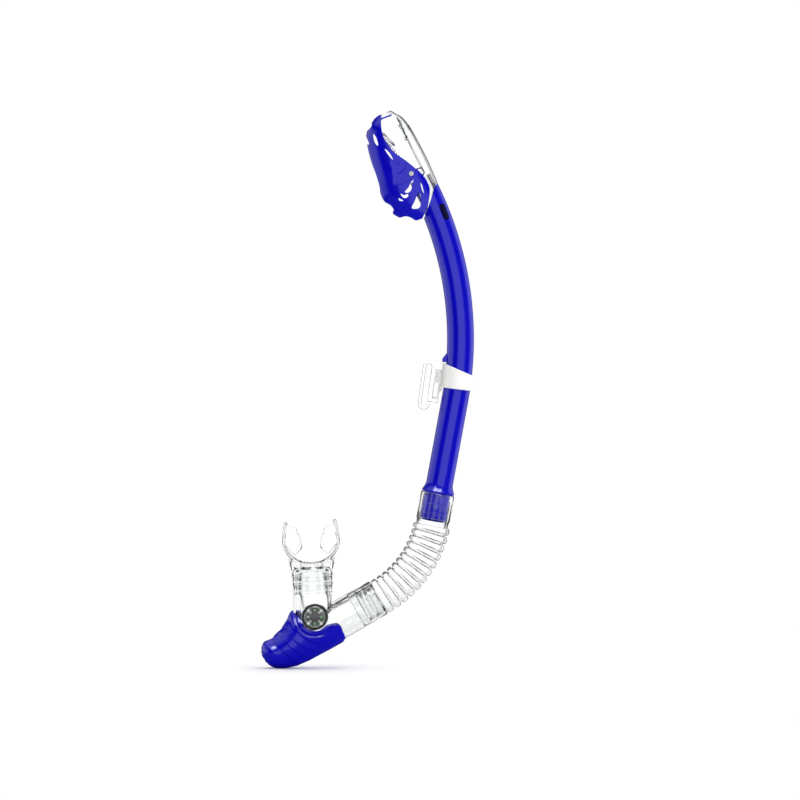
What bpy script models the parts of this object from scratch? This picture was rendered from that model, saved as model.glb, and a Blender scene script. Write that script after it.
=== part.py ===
"""A dry-top snorkel, built at real size as separate named pieces.

World frame, in metres: +Z up along the tube, +X towards the outer side of its bend, and the viewer
looks along +Y. The origin is the middle of the slot that takes the mask strap. Flat shapes are
drawn in the X-Z plane, as seen by that viewer.
"""

import math

import bmesh
import bpy
from mathutils import Vector

MM = 0.001
GAP = 0.3 * MM
ROUND_STEPS = 32
FACING_START = 3.0

# main tube
TUBE_OUTER_RADIUS = 10.8 * MM
TUBE_BORE_RADIUS = 9.2 * MM
TUBE_CROWN = Vector((27.2 * MM, 37.0 * MM))
TUBE_BEND_RADIUS = 270.0 * MM
TUBE_TOP_ANGLE = 27.5
TUBE_LEG_LEAN = 10.4
TUBE_FLARE_START = 68.0 * MM
TUBE_FLARE_END = 76.0 * MM
TUBE_FLARE_RADIUS = 13.1 * MM
TUBE_SPIGOT_END = 96.5 * MM
TUBE_SPIGOT_RADIUS = 10.5 * MM
BARB_HEIGHT = 0.8 * MM
MITRE_HIGH = Vector((9.0 * MM, 163.4 * MM))
MITRE_LOW = Vector((-1.2 * MM, 135.6 * MM))
LATCH_ANGLE = 21.6
LATCH_OFFSET = 6.2 * MM
LATCH_HALF_LENGTH = 4.5 * MM
LATCH_END_RADIUS = 2.0 * MM
LATCH_CLEARANCE = 0.4 * MM

# corrugated hose
HOSE_BEND_RADIUS = 86.0 * MM
HOSE_RING_COUNT = 12
HOSE_RING_RADIUS = 15.0 * MM
HOSE_VALLEY_RADIUS = 12.6 * MM
HOSE_BORE_RADIUS = 11.2 * MM
HOSE_UPPER_CUFF_RADIUS = 13.5 * MM
HOSE_LOWER_CUFF_RADIUS = 15.0 * MM
HOSE_STEPS = 26

# mouthpiece housing: a barrel on the branch axis, a stem for the mouthpiece and a purge chamber
BRANCH_ANGLE = 30.0
BRANCH_END = Vector((-56.4 * MM, -180.4 * MM))
BRANCH_HOSE_LENGTH = 22.6 * MM
BARREL_RADIUS = 15.3 * MM
BARREL_BORE_RADIUS = 11.2 * MM
BARREL_LENGTH = 60.0 * MM
BRANCH_SPIGOT_RADIUS = 12.5 * MM
BRANCH_SPIGOT_LENGTH = 19.0 * MM
STEM_CENTRE_X = -91.25 * MM
STEM_HALF_WIDTH = 15.5 * MM
STEM_HALF_DEPTH = 12.2 * MM
STEM_FOOT_Z = -188.3 * MM
STEM_SHOULDER_Z = -167.6 * MM
STEM_SPIGOT_LENGTH = 17.4 * MM
STEM_SPIGOT_HALF_WIDTH = 13.6 * MM
STEM_SPIGOT_HALF_DEPTH = 9.8 * MM
STEM_BORE_HALF_WIDTH = 11.8 * MM
STEM_BORE_HALF_DEPTH = 8.0 * MM
HOUSING_WALL = 1.8 * MM
COVER_WALL = 1.3 * MM

# compass
COMPASS_CENTRE = Vector((-89.2 * MM, -184.8 * MM))
COMPASS_RADIUS = 10.4 * MM
COMPASS_BOSS_FACE = -15.7 * MM
COMPASS_DEPTH = 5.2 * MM

# mouthpiece
MOUTH_LEAN = 2.3
MOUTH_BASE = Vector((-90.8 * MM, -166.6 * MM))
MOUTH_WIDEST = 46.0 * MM
BITE_THICKNESS = 4.4 * MM

# strap clip and its keeper
CLIP_LEAN = 8.0
CLIP_HALF_DEPTH = 2.6 * MM
SLOT_HALF_WIDTH = 2.5 * MM
KEEPER_LEAN = 7.0
KEEPER_CENTRE = Vector((25.2 * MM, 4.0 * MM))
KEEPER_BORE_RADIUS = 11.3 * MM
KEEPER_OUTER_RADIUS = 13.1 * MM

# dry top
HEAD_LEAN = 21.0
HEAD_ORIGIN = Vector((0.0, 150.0 * MM))
HEAD_WALL = 1.8 * MM
FLOAT_PIVOT = Vector((-12.1 * MM, 169.0 * MM))
FLOAT_SWING = 18.0
FLOAT_REACH = 23.0 * MM
SEAL_REACH = 33.0 * MM
SEAL_REST_ANGLE = 124.0
SEAL_RADIUS = 7.5 * MM
SEAL_THICKNESS = 2.0 * MM
SEAT_WALL_LEAN = 26.0
PIN_RADIUS = 1.2 * MM

MATERIAL_COLOURS = {
    "blue_plastic": ((0.004, 0.003, 0.42, 1.0), 0.3, 0.0),
    "clear_plastic": ((0.90, 0.92, 0.93, 1.0), 0.08, 0.9),
    "clear_silicone": ((0.86, 0.88, 0.88, 1.0), 0.25, 0.8),
    "white_plastic": ((0.88, 0.88, 0.88, 1.0), 0.35, 0.0),
    "black_plastic": ((0.01, 0.01, 0.011, 1.0), 0.3, 0.0),
    "grey_seal_silicone": ((0.30, 0.31, 0.32, 1.0), 0.5, 0.0),
    "float_foam": ((0.75, 0.75, 0.72, 1.0), 0.7, 0.0),
    "steel": ((0.62, 0.62, 0.63, 1.0), 0.25, 0.0),
}


# ---------------------------------------------------------------- flat shapes in the X-Z plane


def direction(degrees):
    """Unit vector in the X-Z plane, counted from +X towards +Z."""
    angle = math.radians(degrees)
    return Vector((math.cos(angle), math.sin(angle)))


def arc(centre, radius, start, end, steps):
    """Points on a circle from one angle to another, both ends included."""
    centre = Vector(centre)
    turn = (end - start) / steps
    return [centre + radius * direction(start + turn * i) for i in range(steps + 1)]


def spline(points, steps, closed=False):
    """A smooth curve through the points, with a few steps between each pair."""
    points = [Vector(p) for p in points]
    count = len(points)
    curve = []
    for i in range(count if closed else count - 1):
        if closed:
            a, b, c, d = (points[(i + k) % count] for k in (-1, 0, 1, 2))
        else:
            a, b = points[max(i - 1, 0)], points[i]
            c, d = points[i + 1], points[min(i + 2, count - 1)]
        for k in range(steps):
            t = k / steps
            curve.append(
                0.5 * (2 * b + (c - a) * t + (2 * a - 5 * b + 4 * c - d) * t**2
                       + (3 * b - a - 3 * c + d) * t**3)
            )
    if not closed:
        curve.append(points[-1])
    return curve


def blend(table, at):
    """The value at a place along a short table of (place, value) pairs, straight between them."""
    if at <= table[0][0]:
        return table[0][1]
    for (a, low), (b, high) in zip(table, table[1:]):
        if at <= b:
            t = (at - a) / (b - a)
            return low + (high - low) * t
    return table[-1][1]


def tilted(origin, lean):
    """A flat frame whose second axis leans from +Z towards +X: returns place(across, along)."""
    angle = math.radians(lean)
    across_axis = Vector((math.cos(angle), -math.sin(angle)))
    along_axis = Vector((math.sin(angle), math.cos(angle)))
    origin = Vector(origin)
    return lambda across, along: origin + across_axis * across + along_axis * along


# ---------------------------------------------------------------- meshes


def material(name):
    """One Principled material per real material, made the first time it is asked for."""
    found = bpy.data.materials.get(name)
    if found:
        return found
    colour, roughness, transmission = MATERIAL_COLOURS[name]
    made = bpy.data.materials.new(name)
    made.use_nodes = True
    shader = made.node_tree.nodes["Principled BSDF"]
    shader.inputs["Base Color"].default_value = colour
    shader.inputs["Roughness"].default_value = roughness
    shader.inputs["Transmission Weight"].default_value = transmission
    shader.inputs["Metallic"].default_value = 1.0 if name == "steel" else 0.0
    made.diffuse_color = colour
    return made


def solid(name, points, faces, finish, origin=(0, 0, 0), smooth=True):
    """An object from points and faces, with outward normals and its origin where it turns."""
    origin = Vector(origin)
    mesh = bpy.data.meshes.new(name)
    mesh.from_pydata([Vector(p) - origin for p in points], [], faces)
    work = bmesh.new()
    work.from_mesh(mesh)
    bmesh.ops.remove_doubles(work, verts=work.verts, dist=0.001 * MM)
    bmesh.ops.recalc_face_normals(work, faces=work.faces)
    work.to_mesh(mesh)
    work.free()
    mesh.polygons.foreach_set("use_smooth", [smooth] * len(mesh.polygons))
    mesh.set_sharp_from_angle(angle=math.radians(40))
    piece = bpy.data.objects.new(name, mesh)
    piece.location = origin
    bpy.context.scene.collection.objects.link(piece)
    if finish:
        mesh.materials.append(material(finish))
    else:
        piece.hide_render = True
        piece.display_type = "WIRE"
    return piece


def skin(name, rings, finish, loop=False, origin=(0, 0, 0)):
    """Joins rings of equal length into one closed skin: capped ends, or a loop back to the start."""
    width = len(rings[0])
    points = [p for ring in rings for p in ring]
    faces = []
    for i in range(len(rings) if loop else len(rings) - 1):
        j = (i + 1) % len(rings)
        for k in range(width):
            m = (k + 1) % width
            faces.append((i * width + k, i * width + m, j * width + m, j * width + k))
    if not loop:
        faces.append(tuple(range(width)))
        faces.append(tuple(range((len(rings) - 1) * width, len(rings) * width)))
    return solid(name, points, faces, finish, origin)


def oval(centre, across, half_across, half_depth, steps=ROUND_STEPS, power=2.0):
    """A ring round a point: wide along a flat X-Z direction, deep along Y."""
    points = []
    for i in range(steps):
        angle = 2 * math.pi * i / steps
        c, s = math.cos(angle), math.sin(angle)
        a = math.copysign(abs(c) ** (2 / power), c) * half_across
        d = math.copysign(abs(s) ** (2 / power), s) * half_depth
        flat = centre + across * a
        points.append(Vector((flat.x, d, flat.y)))
    return points


def turned(name, start, along, profile, finish, origin=(0, 0, 0), steps=ROUND_STEPS, loop=True):
    """A round piece on an axis in the X-Z plane, from (distance along, radius) pairs."""
    across = Vector((along.y, -along.x))
    rings = [oval(start + along * s, across, r, r, steps) for s, r in profile]
    return skin(name, rings, finish, loop=loop, origin=origin)


def facing(name, centre, profile, finish, origin=(0, 0, 0), steps=ROUND_STEPS, loop=False):
    """A round piece on an axis along Y, from (y, radius) pairs."""
    rings = []
    for y, radius in profile:
        ring = []
        for i in range(steps):
            flat = centre + radius * direction(FACING_START + 360 * i / steps)
            ring.append(Vector((flat.x, y, flat.y)))
        rings.append(ring)
    return skin(name, rings, finish, loop=loop, origin=origin)


def prism(name, outline, near, far, finish, origin=(0, 0, 0)):
    """A flat outline in the X-Z plane given thickness along Y."""
    rings = [[Vector((p[0], y, p[1])) for p in outline] for y in (near, far)]
    return skin(name, rings, finish, origin=origin)


def shape(piece, other, operation="DIFFERENCE"):
    """Cuts, joins or trims a piece with a helper solid."""
    step = piece.modifiers.new(other.name, "BOOLEAN")
    step.operation = operation
    step.solver = "EXACT"
    step.object = other


# ---------------------------------------------------------------- main tube


def tube_arc_point(degrees):
    """A place on the bent part of the tube's centre line; 0 is its crown, plus is towards the top."""
    centre = TUBE_CROWN - Vector((TUBE_BEND_RADIUS, 0))
    return centre + TUBE_BEND_RADIUS * direction(degrees)


def leg_down():
    """Unit vector down the straight lower leg of the tube."""
    return -direction(90 - TUBE_LEG_LEAN)


def leg_point(distance):
    """A place on the straight leg, counted down from the end of the bend."""
    return tube_arc_point(-TUBE_LEG_LEAN) + leg_down() * distance


def tube_rings(radius, arc_steps, leg_profile):
    """Rings down the tube: along the bend at one radius, then the leg's (distance, radius) pairs."""
    rings = []
    for i in range(arc_steps + 1):
        angle = TUBE_TOP_ANGLE - (TUBE_TOP_ANGLE + TUBE_LEG_LEAN) * i / arc_steps
        rings.append(oval(tube_arc_point(angle), direction(angle), radius, radius))
    for distance, leg_radius in leg_profile:
        rings.append(oval(leg_point(distance), direction(-TUBE_LEG_LEAN), leg_radius, leg_radius))
    return rings


def barbs(start, radius, places, length=3.0 * MM):
    """(distance, radius) pairs of saw-tooth barb rings on a spigot that begins at start."""
    profile = [(start, radius)]
    for place in places:
        profile.append((place, radius))
        profile.append((place + 0.3 * MM, radius + BARB_HEIGHT))
        profile.append((place + length, radius))
    return profile


def build_main_tube():
    outer_leg = [(TUBE_FLARE_START, TUBE_OUTER_RADIUS), (TUBE_FLARE_END - 1.0 * MM, TUBE_FLARE_RADIUS)]
    outer_leg.append((TUBE_FLARE_END, TUBE_FLARE_RADIUS))
    outer_leg += barbs(TUBE_FLARE_END, TUBE_SPIGOT_RADIUS, [84.0 * MM, 90.5 * MM])
    outer_leg.append((TUBE_SPIGOT_END, TUBE_SPIGOT_RADIUS))
    outer = tube_rings(TUBE_OUTER_RADIUS, 15, outer_leg)
    inner = tube_rings(TUBE_BORE_RADIUS, 8, [(TUBE_SPIGOT_END, TUBE_BORE_RADIUS)])
    tube = skin("main_tube", outer + inner[::-1], "blue_plastic", loop=True)
    shape(tube, mitre_slab("tube_mitre_cut", 0.0, above=True))
    shape(tube, stop_lug(), "UNION")
    shape(tube, latch_window())
    return tube


def mitre_slab(name, offset, above):
    """The space on one side of the slanting joint between tube and dry top, moved by offset."""
    along = (MITRE_HIGH - MITRE_LOW).normalized()
    side = Vector((-along.y, along.x)) * (1 if above else -1)
    low = MITRE_LOW - along * 40 * MM + side * offset
    high = MITRE_HIGH + along * 60 * MM + side * offset
    reach = side * 60 * MM
    return prism(name, [low, high, high + reach, low + reach], -30 * MM, 30 * MM, None)


def stop_lug():
    """Small lug on the strap side of the tube that stops the keeper sliding up."""
    outline = [(17.0 * MM, 27.0 * MM), (15.6 * MM, 24.8 * MM), (12.6 * MM, 20.9 * MM),
               (12.6 * MM, 18.6 * MM), (17.0 * MM, 18.6 * MM)]
    return prism("stop_lug", outline, -3.0 * MM, 3.0 * MM, None)


def latch_outline(end_radius):
    """Round-ended outline of the latch, lined up with the tube."""
    middle = tube_arc_point(LATCH_ANGLE) + direction(LATCH_ANGLE) * LATCH_OFFSET
    place = tilted(middle, -LATCH_ANGLE)
    ends = arc((0, LATCH_HALF_LENGTH), end_radius, 0, 180, 8)
    ends += arc((0, -LATCH_HALF_LENGTH), end_radius, 180, 360, 8)
    return [place(p.x, p.y) for p in ends]


def latch_window():
    """Slot in the tube wall that the dry top's latch snaps into."""
    outline = latch_outline(LATCH_END_RADIUS + LATCH_CLEARANCE)
    return prism("latch_window", outline, -14 * MM, -3 * MM, None)


# ---------------------------------------------------------------- dry top

# half widths of the head on either side of its axis, and its half depth, along the axis
HEAD_LEFT = [(-16, -13), (-11, -19), (-6, -26.5), (0, -30), (10, -33.2), (30, -32.6),
             (46, -30.8), (57, -28.8), (66, -25.4), (71.5, -20.5), (75, -12)]
HEAD_RIGHT = [(-16, 13.6), (10, 12.7), (28, 11.9), (37, 11), (53.5, 8.9), (63, 6.8),
              (70, 3.6), (75, -3)]
HEAD_DEPTH = [(-16, 11.6), (0, 13.6), (10, 15.4), (24, 16.8), (44, 17.0), (58, 16.0),
              (66, 13.6), (71.5, 10.0), (75, 5.5)]
HEAD_STATIONS = (-16, -11, -6, 0, 5, 10, 18, 26, 36, 46, 55, 62, 67, 71.5, 74, 75)
SPLIT_CURVE = [(-34.0, 226.0), (-36.4, 216.8), (-35.8, 208.0), (-32.6, 196.0), (-26.8, 188.2),
               (-13.2, 176.0), (-2.0, 166.4), (2.6, 157.0), (2.8, 150.4), (-1.2, 136.0), (-7, 120)]


def head_place():
    return tilted(HEAD_ORIGIN, -HEAD_LEAN)


def head_body(name, inset, finish):
    """The whole head as one smooth lofted body, taken in all round by inset."""
    place = head_place()
    across = direction(HEAD_LEAN)
    rings = []
    for station in HEAD_STATIONS:
        left = blend(HEAD_LEFT, station) * MM + inset
        right = blend(HEAD_RIGHT, station) * MM - inset
        depth = blend(HEAD_DEPTH, station) * MM - inset
        height = station * MM
        if inset:
            height = min(height, HEAD_STATIONS[-1] * MM - inset)
            height -= 4 * MM if station == HEAD_STATIONS[0] else 0
        middle = place((left + right) / 2, height)
        rings.append(oval(middle, across, (right - left) / 2, depth, power=2.3))
    if inset:
        rings.pop(-2)
    return skin(name, rings, finish)


def split_region(name, guard_side):
    """Everything on one side of the curved joint between guard and dome."""
    shift = Vector((-0.25, -0.2)) * (0.6 if guard_side else -0.6)
    curve = [(p + shift) * MM for p in spline(SPLIT_CURVE, 4)]
    edge_x = (-90 if guard_side else 60) * MM
    outline = curve + [Vector((edge_x, curve[-1].y)), Vector((edge_x, curve[0].y))]
    return prism(name, outline, -30 * MM, 30 * MM, None)


def rounded_slot(name, centre, length, width, lean, reach=30 * MM):
    """A long round-ended hole right through along Y."""
    place = tilted(Vector(centre) * MM, lean)
    half = (length - width) / 2 * MM
    radius = width / 2 * MM
    ends = arc((0, half), radius, 0, 180, 6) + arc((0, -half), radius, 180, 360, 6)
    return prism(name, [place(p.x, p.y) for p in ends], -reach, reach, None)


def head_shell(name, guard_side):
    """One half of the head's thin wall: the blue guard or the clear dome."""
    shell = head_body(name, 0.0, "blue_plastic" if guard_side else "clear_plastic")
    shape(shell, head_body(name + "_hollow", HEAD_WALL, None))
    shape(shell, split_region(name + "_region", guard_side), "INTERSECT")
    shape(shell, mitre_slab(name + "_mitre", -GAP, above=False))
    shape(shell, neck_room(name + "_neck_room"))
    return shell


def neck_room(name):
    """The round space that the neck spigot stands in."""
    rings = [oval(tube_arc_point(angle), direction(angle), TUBE_BORE_RADIUS, TUBE_BORE_RADIUS)
             for angle in (16.0, 20.0, 24.0, 28.0)]
    return skin(name, rings, None)


def build_guard():
    guard = head_shell("dry_top_guard", True)
    slots = (
        ("upper", (-40.6, 196.0), 12.0, 4.4, -14),
        ("slender", (-30.2, 184.2), 13.0, 2.8, -38),
        ("crescent", (-14.6, 158.6), 12.0, 4.2, 36),
        ("drain", (-19.4, 150.6), 7.0, 4.4, 62),
        ("strip", (-3.4, 157.4), 10.0, 2.2, 2),
    )
    for label, centre, length, width, lean in slots:
        shape(guard, rounded_slot("guard_slot_" + label, centre, length, width, lean))
    corner_points = [(-11.8, 141.8), (-6.4, 153.6), (-4.6, 149.6), (-5.4, 143.2), (-8.4, 141.0)]
    outline = [p * MM for p in spline(corner_points, 3, closed=True)]
    shape(guard, prism("guard_slot_corner", outline, -30 * MM, 30 * MM, None))
    shape(guard, facing("guard_pin_hole", FLOAT_PIVOT, [(-25 * MM, PIN_RADIUS + GAP),
                                                       (25 * MM, PIN_RADIUS + GAP)], None))
    for label, centre in (("upper", (-50.2, 194.6)), ("lower", (-33.2, 139.4))):
        notch = facing("guard_notch_" + label, Vector(centre) * MM,
                       [(-25 * MM, 3.6 * MM), (25 * MM, 3.6 * MM)], None)
        shape(guard, notch)
    return guard


def build_dome():
    return head_shell("dry_top_dome", False)


def build_neck_spigot():
    """Round spigot of the dry top that plugs into the tube."""
    outer = TUBE_BORE_RADIUS - GAP
    inner = outer - 1.6 * MM
    rings = []
    for angle in (14.5, 17.0, 19.5, 22.0, 24.5, 27.0):
        rings.append(oval(tube_arc_point(angle), direction(angle), outer, outer))
    for angle in (27.0, 23.0, 19.0, 14.5):
        rings.append(oval(tube_arc_point(angle), direction(angle), inner, inner))
    spigot = skin("neck_spigot", rings, "clear_plastic", loop=True)
    return spigot


def build_latch():
    """Snap latch of the dry top, filling the window in the tube."""
    outline = latch_outline(LATCH_END_RADIUS)
    latch = prism("neck_latch", outline, -12 * MM, -4 * MM, "black_plastic")
    radius = TUBE_OUTER_RADIUS - LATCH_CLEARANCE
    rings = [oval(tube_arc_point(angle), direction(angle), radius, radius)
             for angle in (17.0, 19.0, 21.0, 23.0, 25.0)]
    shape(latch, skin("latch_face", rings, None), "INTERSECT")
    shape(latch, neck_room("latch_back"))
    return latch


def seal_centre(swing):
    """Middle of the seal disc with the lever swung by some degrees towards shut."""
    return FLOAT_PIVOT + SEAL_REACH * direction(SEAL_REST_ANGLE - swing)


def seat_normal():
    """Unit vector from the seal towards the seat wall when shut."""
    return direction(SEAT_WALL_LEAN)


def build_valve_seat():
    """Inner wall of the air duct, with the round seat that the seal closes."""
    normal = seat_normal()
    up = direction(90 + SEAT_WALL_LEAN)
    face = seal_centre(FLOAT_SWING) + normal * (SEAL_THICKNESS / 2 + GAP)
    wall_near = face + normal * 1.4 * MM
    wall_far = wall_near + normal * 1.4 * MM
    foot, head = -36.5 * MM, 12.6 * MM
    outline = [wall_near + up * foot, wall_far + up * foot, wall_far + up * head,
               wall_near + up * head]
    wall = prism("valve_seat", outline, -14 * MM, 14 * MM, "clear_plastic")
    shape(wall, head_body("seat_trim", HEAD_WALL + GAP, None), "INTERSECT")
    shape(wall, turned("seat_lip", face, normal, [(0, 7.0 * MM), (2.2 * MM, 7.0 * MM)], None,
                       loop=False), "UNION")
    shape(wall, turned("seat_hole", face, normal, [(-2 * MM, 5.6 * MM), (6 * MM, 5.6 * MM)], None,
                       loop=False))
    return wall


def build_hinge_pin():
    half = 17.2 * MM
    profile = [(-half - 0.9 * MM, 1.9 * MM), (-half - GAP, 1.9 * MM), (-half - GAP, PIN_RADIUS),
               (half, PIN_RADIUS)]
    return facing("hinge_pin", FLOAT_PIVOT, profile, "steel", steps=20)


def build_float():
    """Float shaped as a slice of a drum round the hinge, so that it swings clear of the guard."""
    low, high = 173.0, 231.0
    outline = arc(FLOAT_PIVOT, FLOAT_REACH, low, high, 12)
    outline += arc(FLOAT_PIVOT, 8.5 * MM, high, low, 8)
    block = prism("float", outline, -9.6 * MM, 9.6 * MM, "float_foam",
                  origin=(FLOAT_PIVOT.x, 0, FLOAT_PIVOT.y))
    shape(block, head_body("float_trim", HEAD_WALL + 1.2 * MM, None), "INTERSECT")
    slot = arc(FLOAT_PIVOT, 17.0 * MM, 188, 208, 4) + arc(FLOAT_PIVOT, 7.5 * MM, 214, 182, 4)
    shape(block, prism("float_arm_pocket", slot, -3.0 * MM, 3.0 * MM, None))
    return block


def build_float_lever():
    """Lever on the pin: one arm into the float, one arm up to the seal."""
    origin = (FLOAT_PIVOT.x, 0, FLOAT_PIVOT.y)
    bore = PIN_RADIUS + GAP
    lever = facing("float_lever", FLOAT_PIVOT,
                   [(-9 * MM, 3.6 * MM), (9 * MM, 3.6 * MM), (9 * MM, bore), (-9 * MM, bore)],
                   "white_plastic", origin=origin, steps=24, loop=True)
    float_arm = arc(FLOAT_PIVOT, 16.0 * MM, 191.5, 204.5, 3) + [
        FLOAT_PIVOT + 3.0 * MM * direction(216), FLOAT_PIVOT + 3.0 * MM * direction(180)]
    shape(lever, prism("lever_float_arm", float_arm, -2.6 * MM, 2.6 * MM, None), "UNION")
    normal = direction(SEAT_WALL_LEAN + FLOAT_SWING)
    side = Vector((-normal.y, normal.x))
    back = seal_centre(0) - normal * (SEAL_THICKNESS / 2 + GAP)
    arm_out = [back - side * 2.0 * MM, back + side * 2.0 * MM,
               back + side * 2.0 * MM - normal * 2.0 * MM,
               FLOAT_PIVOT + 3.0 * MM * direction(165), FLOAT_PIVOT + 3.0 * MM * direction(95)]
    shape(lever, prism("lever_seal_arm", arm_out, -2.6 * MM, 2.6 * MM, None), "UNION")
    plate = turned("lever_seal_plate", back - normal * 1.2 * MM, normal,
                   [(0, 6.4 * MM), (1.2 * MM, 6.4 * MM)], None, loop=False, steps=28)
    shape(lever, plate, "UNION")
    return lever


def build_seal():
    normal = direction(SEAT_WALL_LEAN + FLOAT_SWING)
    start = seal_centre(0) - normal * SEAL_THICKNESS / 2
    profile = [(0, SEAL_RADIUS - 0.4 * MM), (0.5 * MM, SEAL_RADIUS),
               (SEAL_THICKNESS - 0.5 * MM, SEAL_RADIUS), (SEAL_THICKNESS, SEAL_RADIUS - 0.6 * MM)]
    return turned("seal_disc", start, normal, profile, "grey_seal_silicone", loop=False, steps=28,
                  origin=(FLOAT_PIVOT.x, 0, FLOAT_PIVOT.y))


# ---------------------------------------------------------------- strap clip and keeper


def build_keeper():
    """Band round the tube with a flat tongue for the clip; its top edge slants."""
    place = tilted(KEEPER_CENTRE, KEEPER_LEAN)
    bottom = -7.2 * MM
    top, slope = 8.3 * MM, -0.30

    def band_ring(radius, upper, lift=0.0):
        ring = []
        for i in range(ROUND_STEPS):
            angle = 2 * math.pi * i / ROUND_STEPS
            across = radius * math.cos(angle)
            height = top + slope * across if upper else bottom
            flat = place(across, height + lift)
            ring.append(Vector((flat.x, radius * math.sin(angle), flat.y)))
        return ring

    edge = 0.6 * MM
    rings = [band_ring(KEEPER_BORE_RADIUS, False), band_ring(KEEPER_OUTER_RADIUS - edge, False),
             band_ring(KEEPER_OUTER_RADIUS, False, edge), band_ring(KEEPER_OUTER_RADIUS, True, -edge),
             band_ring(KEEPER_OUTER_RADIUS - edge, True), band_ring(KEEPER_BORE_RADIUS, True)]
    origin = (KEEPER_CENTRE.x, 0, KEEPER_CENTRE.y)
    keeper = skin("keeper_band", rings, "white_plastic", loop=True, origin=origin)
    clip = tilted((0, 0), CLIP_LEAN)
    tongue = [(5.2, 14), (12.7, 14), (12.7, -3), (10.4, -4.5), (10.4, -10.4), (5.2, -10.4)]
    shape(keeper, prism("keeper_tongue", [clip(a * MM, b * MM) for a, b in tongue],
                        -1.0 * MM, 1.0 * MM, None), "UNION")
    window = arc((7.8 * MM, 1.6 * MM), 1.3 * MM, 0, 180, 6)
    window += arc((7.8 * MM, -7.2 * MM), 1.3 * MM, 180, 360, 6)
    shape(keeper, prism("keeper_latch_window", [clip(p.x, p.y) for p in window],
                        -3 * MM, 3 * MM, None))
    return keeper


def build_strap_clip():
    """Clear clip: a hook-shaped strap slot beside a sleeve that slides over the tongue."""
    clip = tilted((0, 0), CLIP_LEAN)
    half = SLOT_HALF_WIDTH
    outer = half + 2.0 * MM
    top, foot, bar_end = 14.8 * MM, -15.0 * MM, -12.8 * MM
    plate_side = 11.0 * MM
    outline = arc((0, top), outer, 90, 180, 8) + arc((0, foot), outer, 180, 368, 14)
    outline += arc((0, foot), half, 368, 180, 12) + arc((0, top), half, 180, 0, 10)
    outline += [Vector((half, bar_end)), Vector((plate_side, bar_end))]
    outline += [Vector((plate_side, top + outer))]
    piece = prism("strap_clip", [clip(p.x, p.y) for p in outline],
                  -CLIP_HALF_DEPTH, CLIP_HALF_DEPTH, "clear_plastic")
    pocket = [(4.9, -10.8), (11.6, -10.8), (11.6, 20.5), (4.9, 20.5)]
    shape(piece, prism("clip_pocket", [clip(a * MM, b * MM) for a, b in pocket],
                       -1.3 * MM, 1.3 * MM, None))
    return piece


# ---------------------------------------------------------------- hose


def branch_along():
    """Unit vector up the branch, from the housing towards the hose."""
    return direction(BRANCH_ANGLE)


def branch_point(distance):
    return BRANCH_END + branch_along() * distance


def hose_centre():
    """Middle of the circle that the hose bends round."""
    down = leg_down()
    inward = Vector((down.y, -down.x))
    return hose_start() + inward * HOSE_BEND_RADIUS


def hose_start():
    """Where the hose leaves the line of the tube, so that its bend ends on the branch axis."""
    turn = math.radians(90 - BRANCH_ANGLE - TUBE_LEG_LEAN)
    tangent = HOSE_BEND_RADIUS * math.tan(turn / 2)
    end = branch_point(BRANCH_HOSE_LENGTH)
    meet = end + branch_along() * tangent
    return meet - leg_down() * tangent


def hose_round(point, across, radius):
    return oval(point, across, radius, radius, steps=HOSE_STEPS)


def hose_ring(angle, radius):
    """A ring round the bent middle line of the hose."""
    middle = hose_centre() + HOSE_BEND_RADIUS * direction(angle)
    return hose_round(middle, direction(angle), radius)


def build_hose():
    """Soft hose: a cuff at each end and round ribs between them."""
    start, end = -TUBE_LEG_LEAN, BRANCH_ANGLE - 90
    top = leg_point(TUBE_FLARE_END + GAP)
    down = leg_down()
    across = direction(-TUBE_LEG_LEAN)
    spigot_room = TUBE_SPIGOT_RADIUS + BARB_HEIGHT + GAP
    cuff_end = leg_point(TUBE_SPIGOT_END + 1.5 * MM)
    outer = [hose_round(top, across, HOSE_UPPER_CUFF_RADIUS),
             hose_round(cuff_end, across, HOSE_UPPER_CUFF_RADIUS)]
    pitch = (end - start) / HOSE_RING_COUNT
    for i in range(HOSE_RING_COUNT):
        middle = start + pitch * (i + 0.75)
        outer.append(hose_ring(middle - pitch * 0.42, HOSE_VALLEY_RADIUS))
        outer.append(hose_ring(middle - pitch * 0.2, HOSE_RING_RADIUS))
        outer.append(hose_ring(middle + pitch * 0.2, HOSE_RING_RADIUS))
    low_across = direction(BRANCH_ANGLE - 90)
    low_room = BRANCH_SPIGOT_RADIUS + BARB_HEIGHT + GAP
    low_inside = branch_point(BRANCH_SPIGOT_LENGTH + 1 * MM)
    outer.append(hose_round(branch_point(0), low_across, HOSE_LOWER_CUFF_RADIUS))
    inner = [hose_round(branch_point(0), low_across, low_room),
             hose_round(low_inside, low_across, low_room)]
    steps = 9
    for i in range(steps + 1):
        inner.append(hose_ring(end + (start - end) * i / steps, HOSE_BORE_RADIUS))
    inner.append(hose_round(leg_point(TUBE_SPIGOT_END + GAP), across, spigot_room))
    inner.append(hose_round(top, across, spigot_room))
    return skin("corrugated_hose", outer + inner, "clear_silicone", loop=True)


# ---------------------------------------------------------------- housing and purge valve


def stem(name, grow, finish, foot=STEM_FOOT_Z, top=STEM_SHOULDER_Z):
    """The oval stem under the mouthpiece."""
    across = Vector((1, 0))
    rings = []
    for z in (foot, top):
        rings.append(oval(Vector((STEM_CENTRE_X, z)), across, STEM_HALF_WIDTH + grow,
                          STEM_HALF_DEPTH + grow, power=2.3))
    return skin(name, rings, finish)


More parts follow.
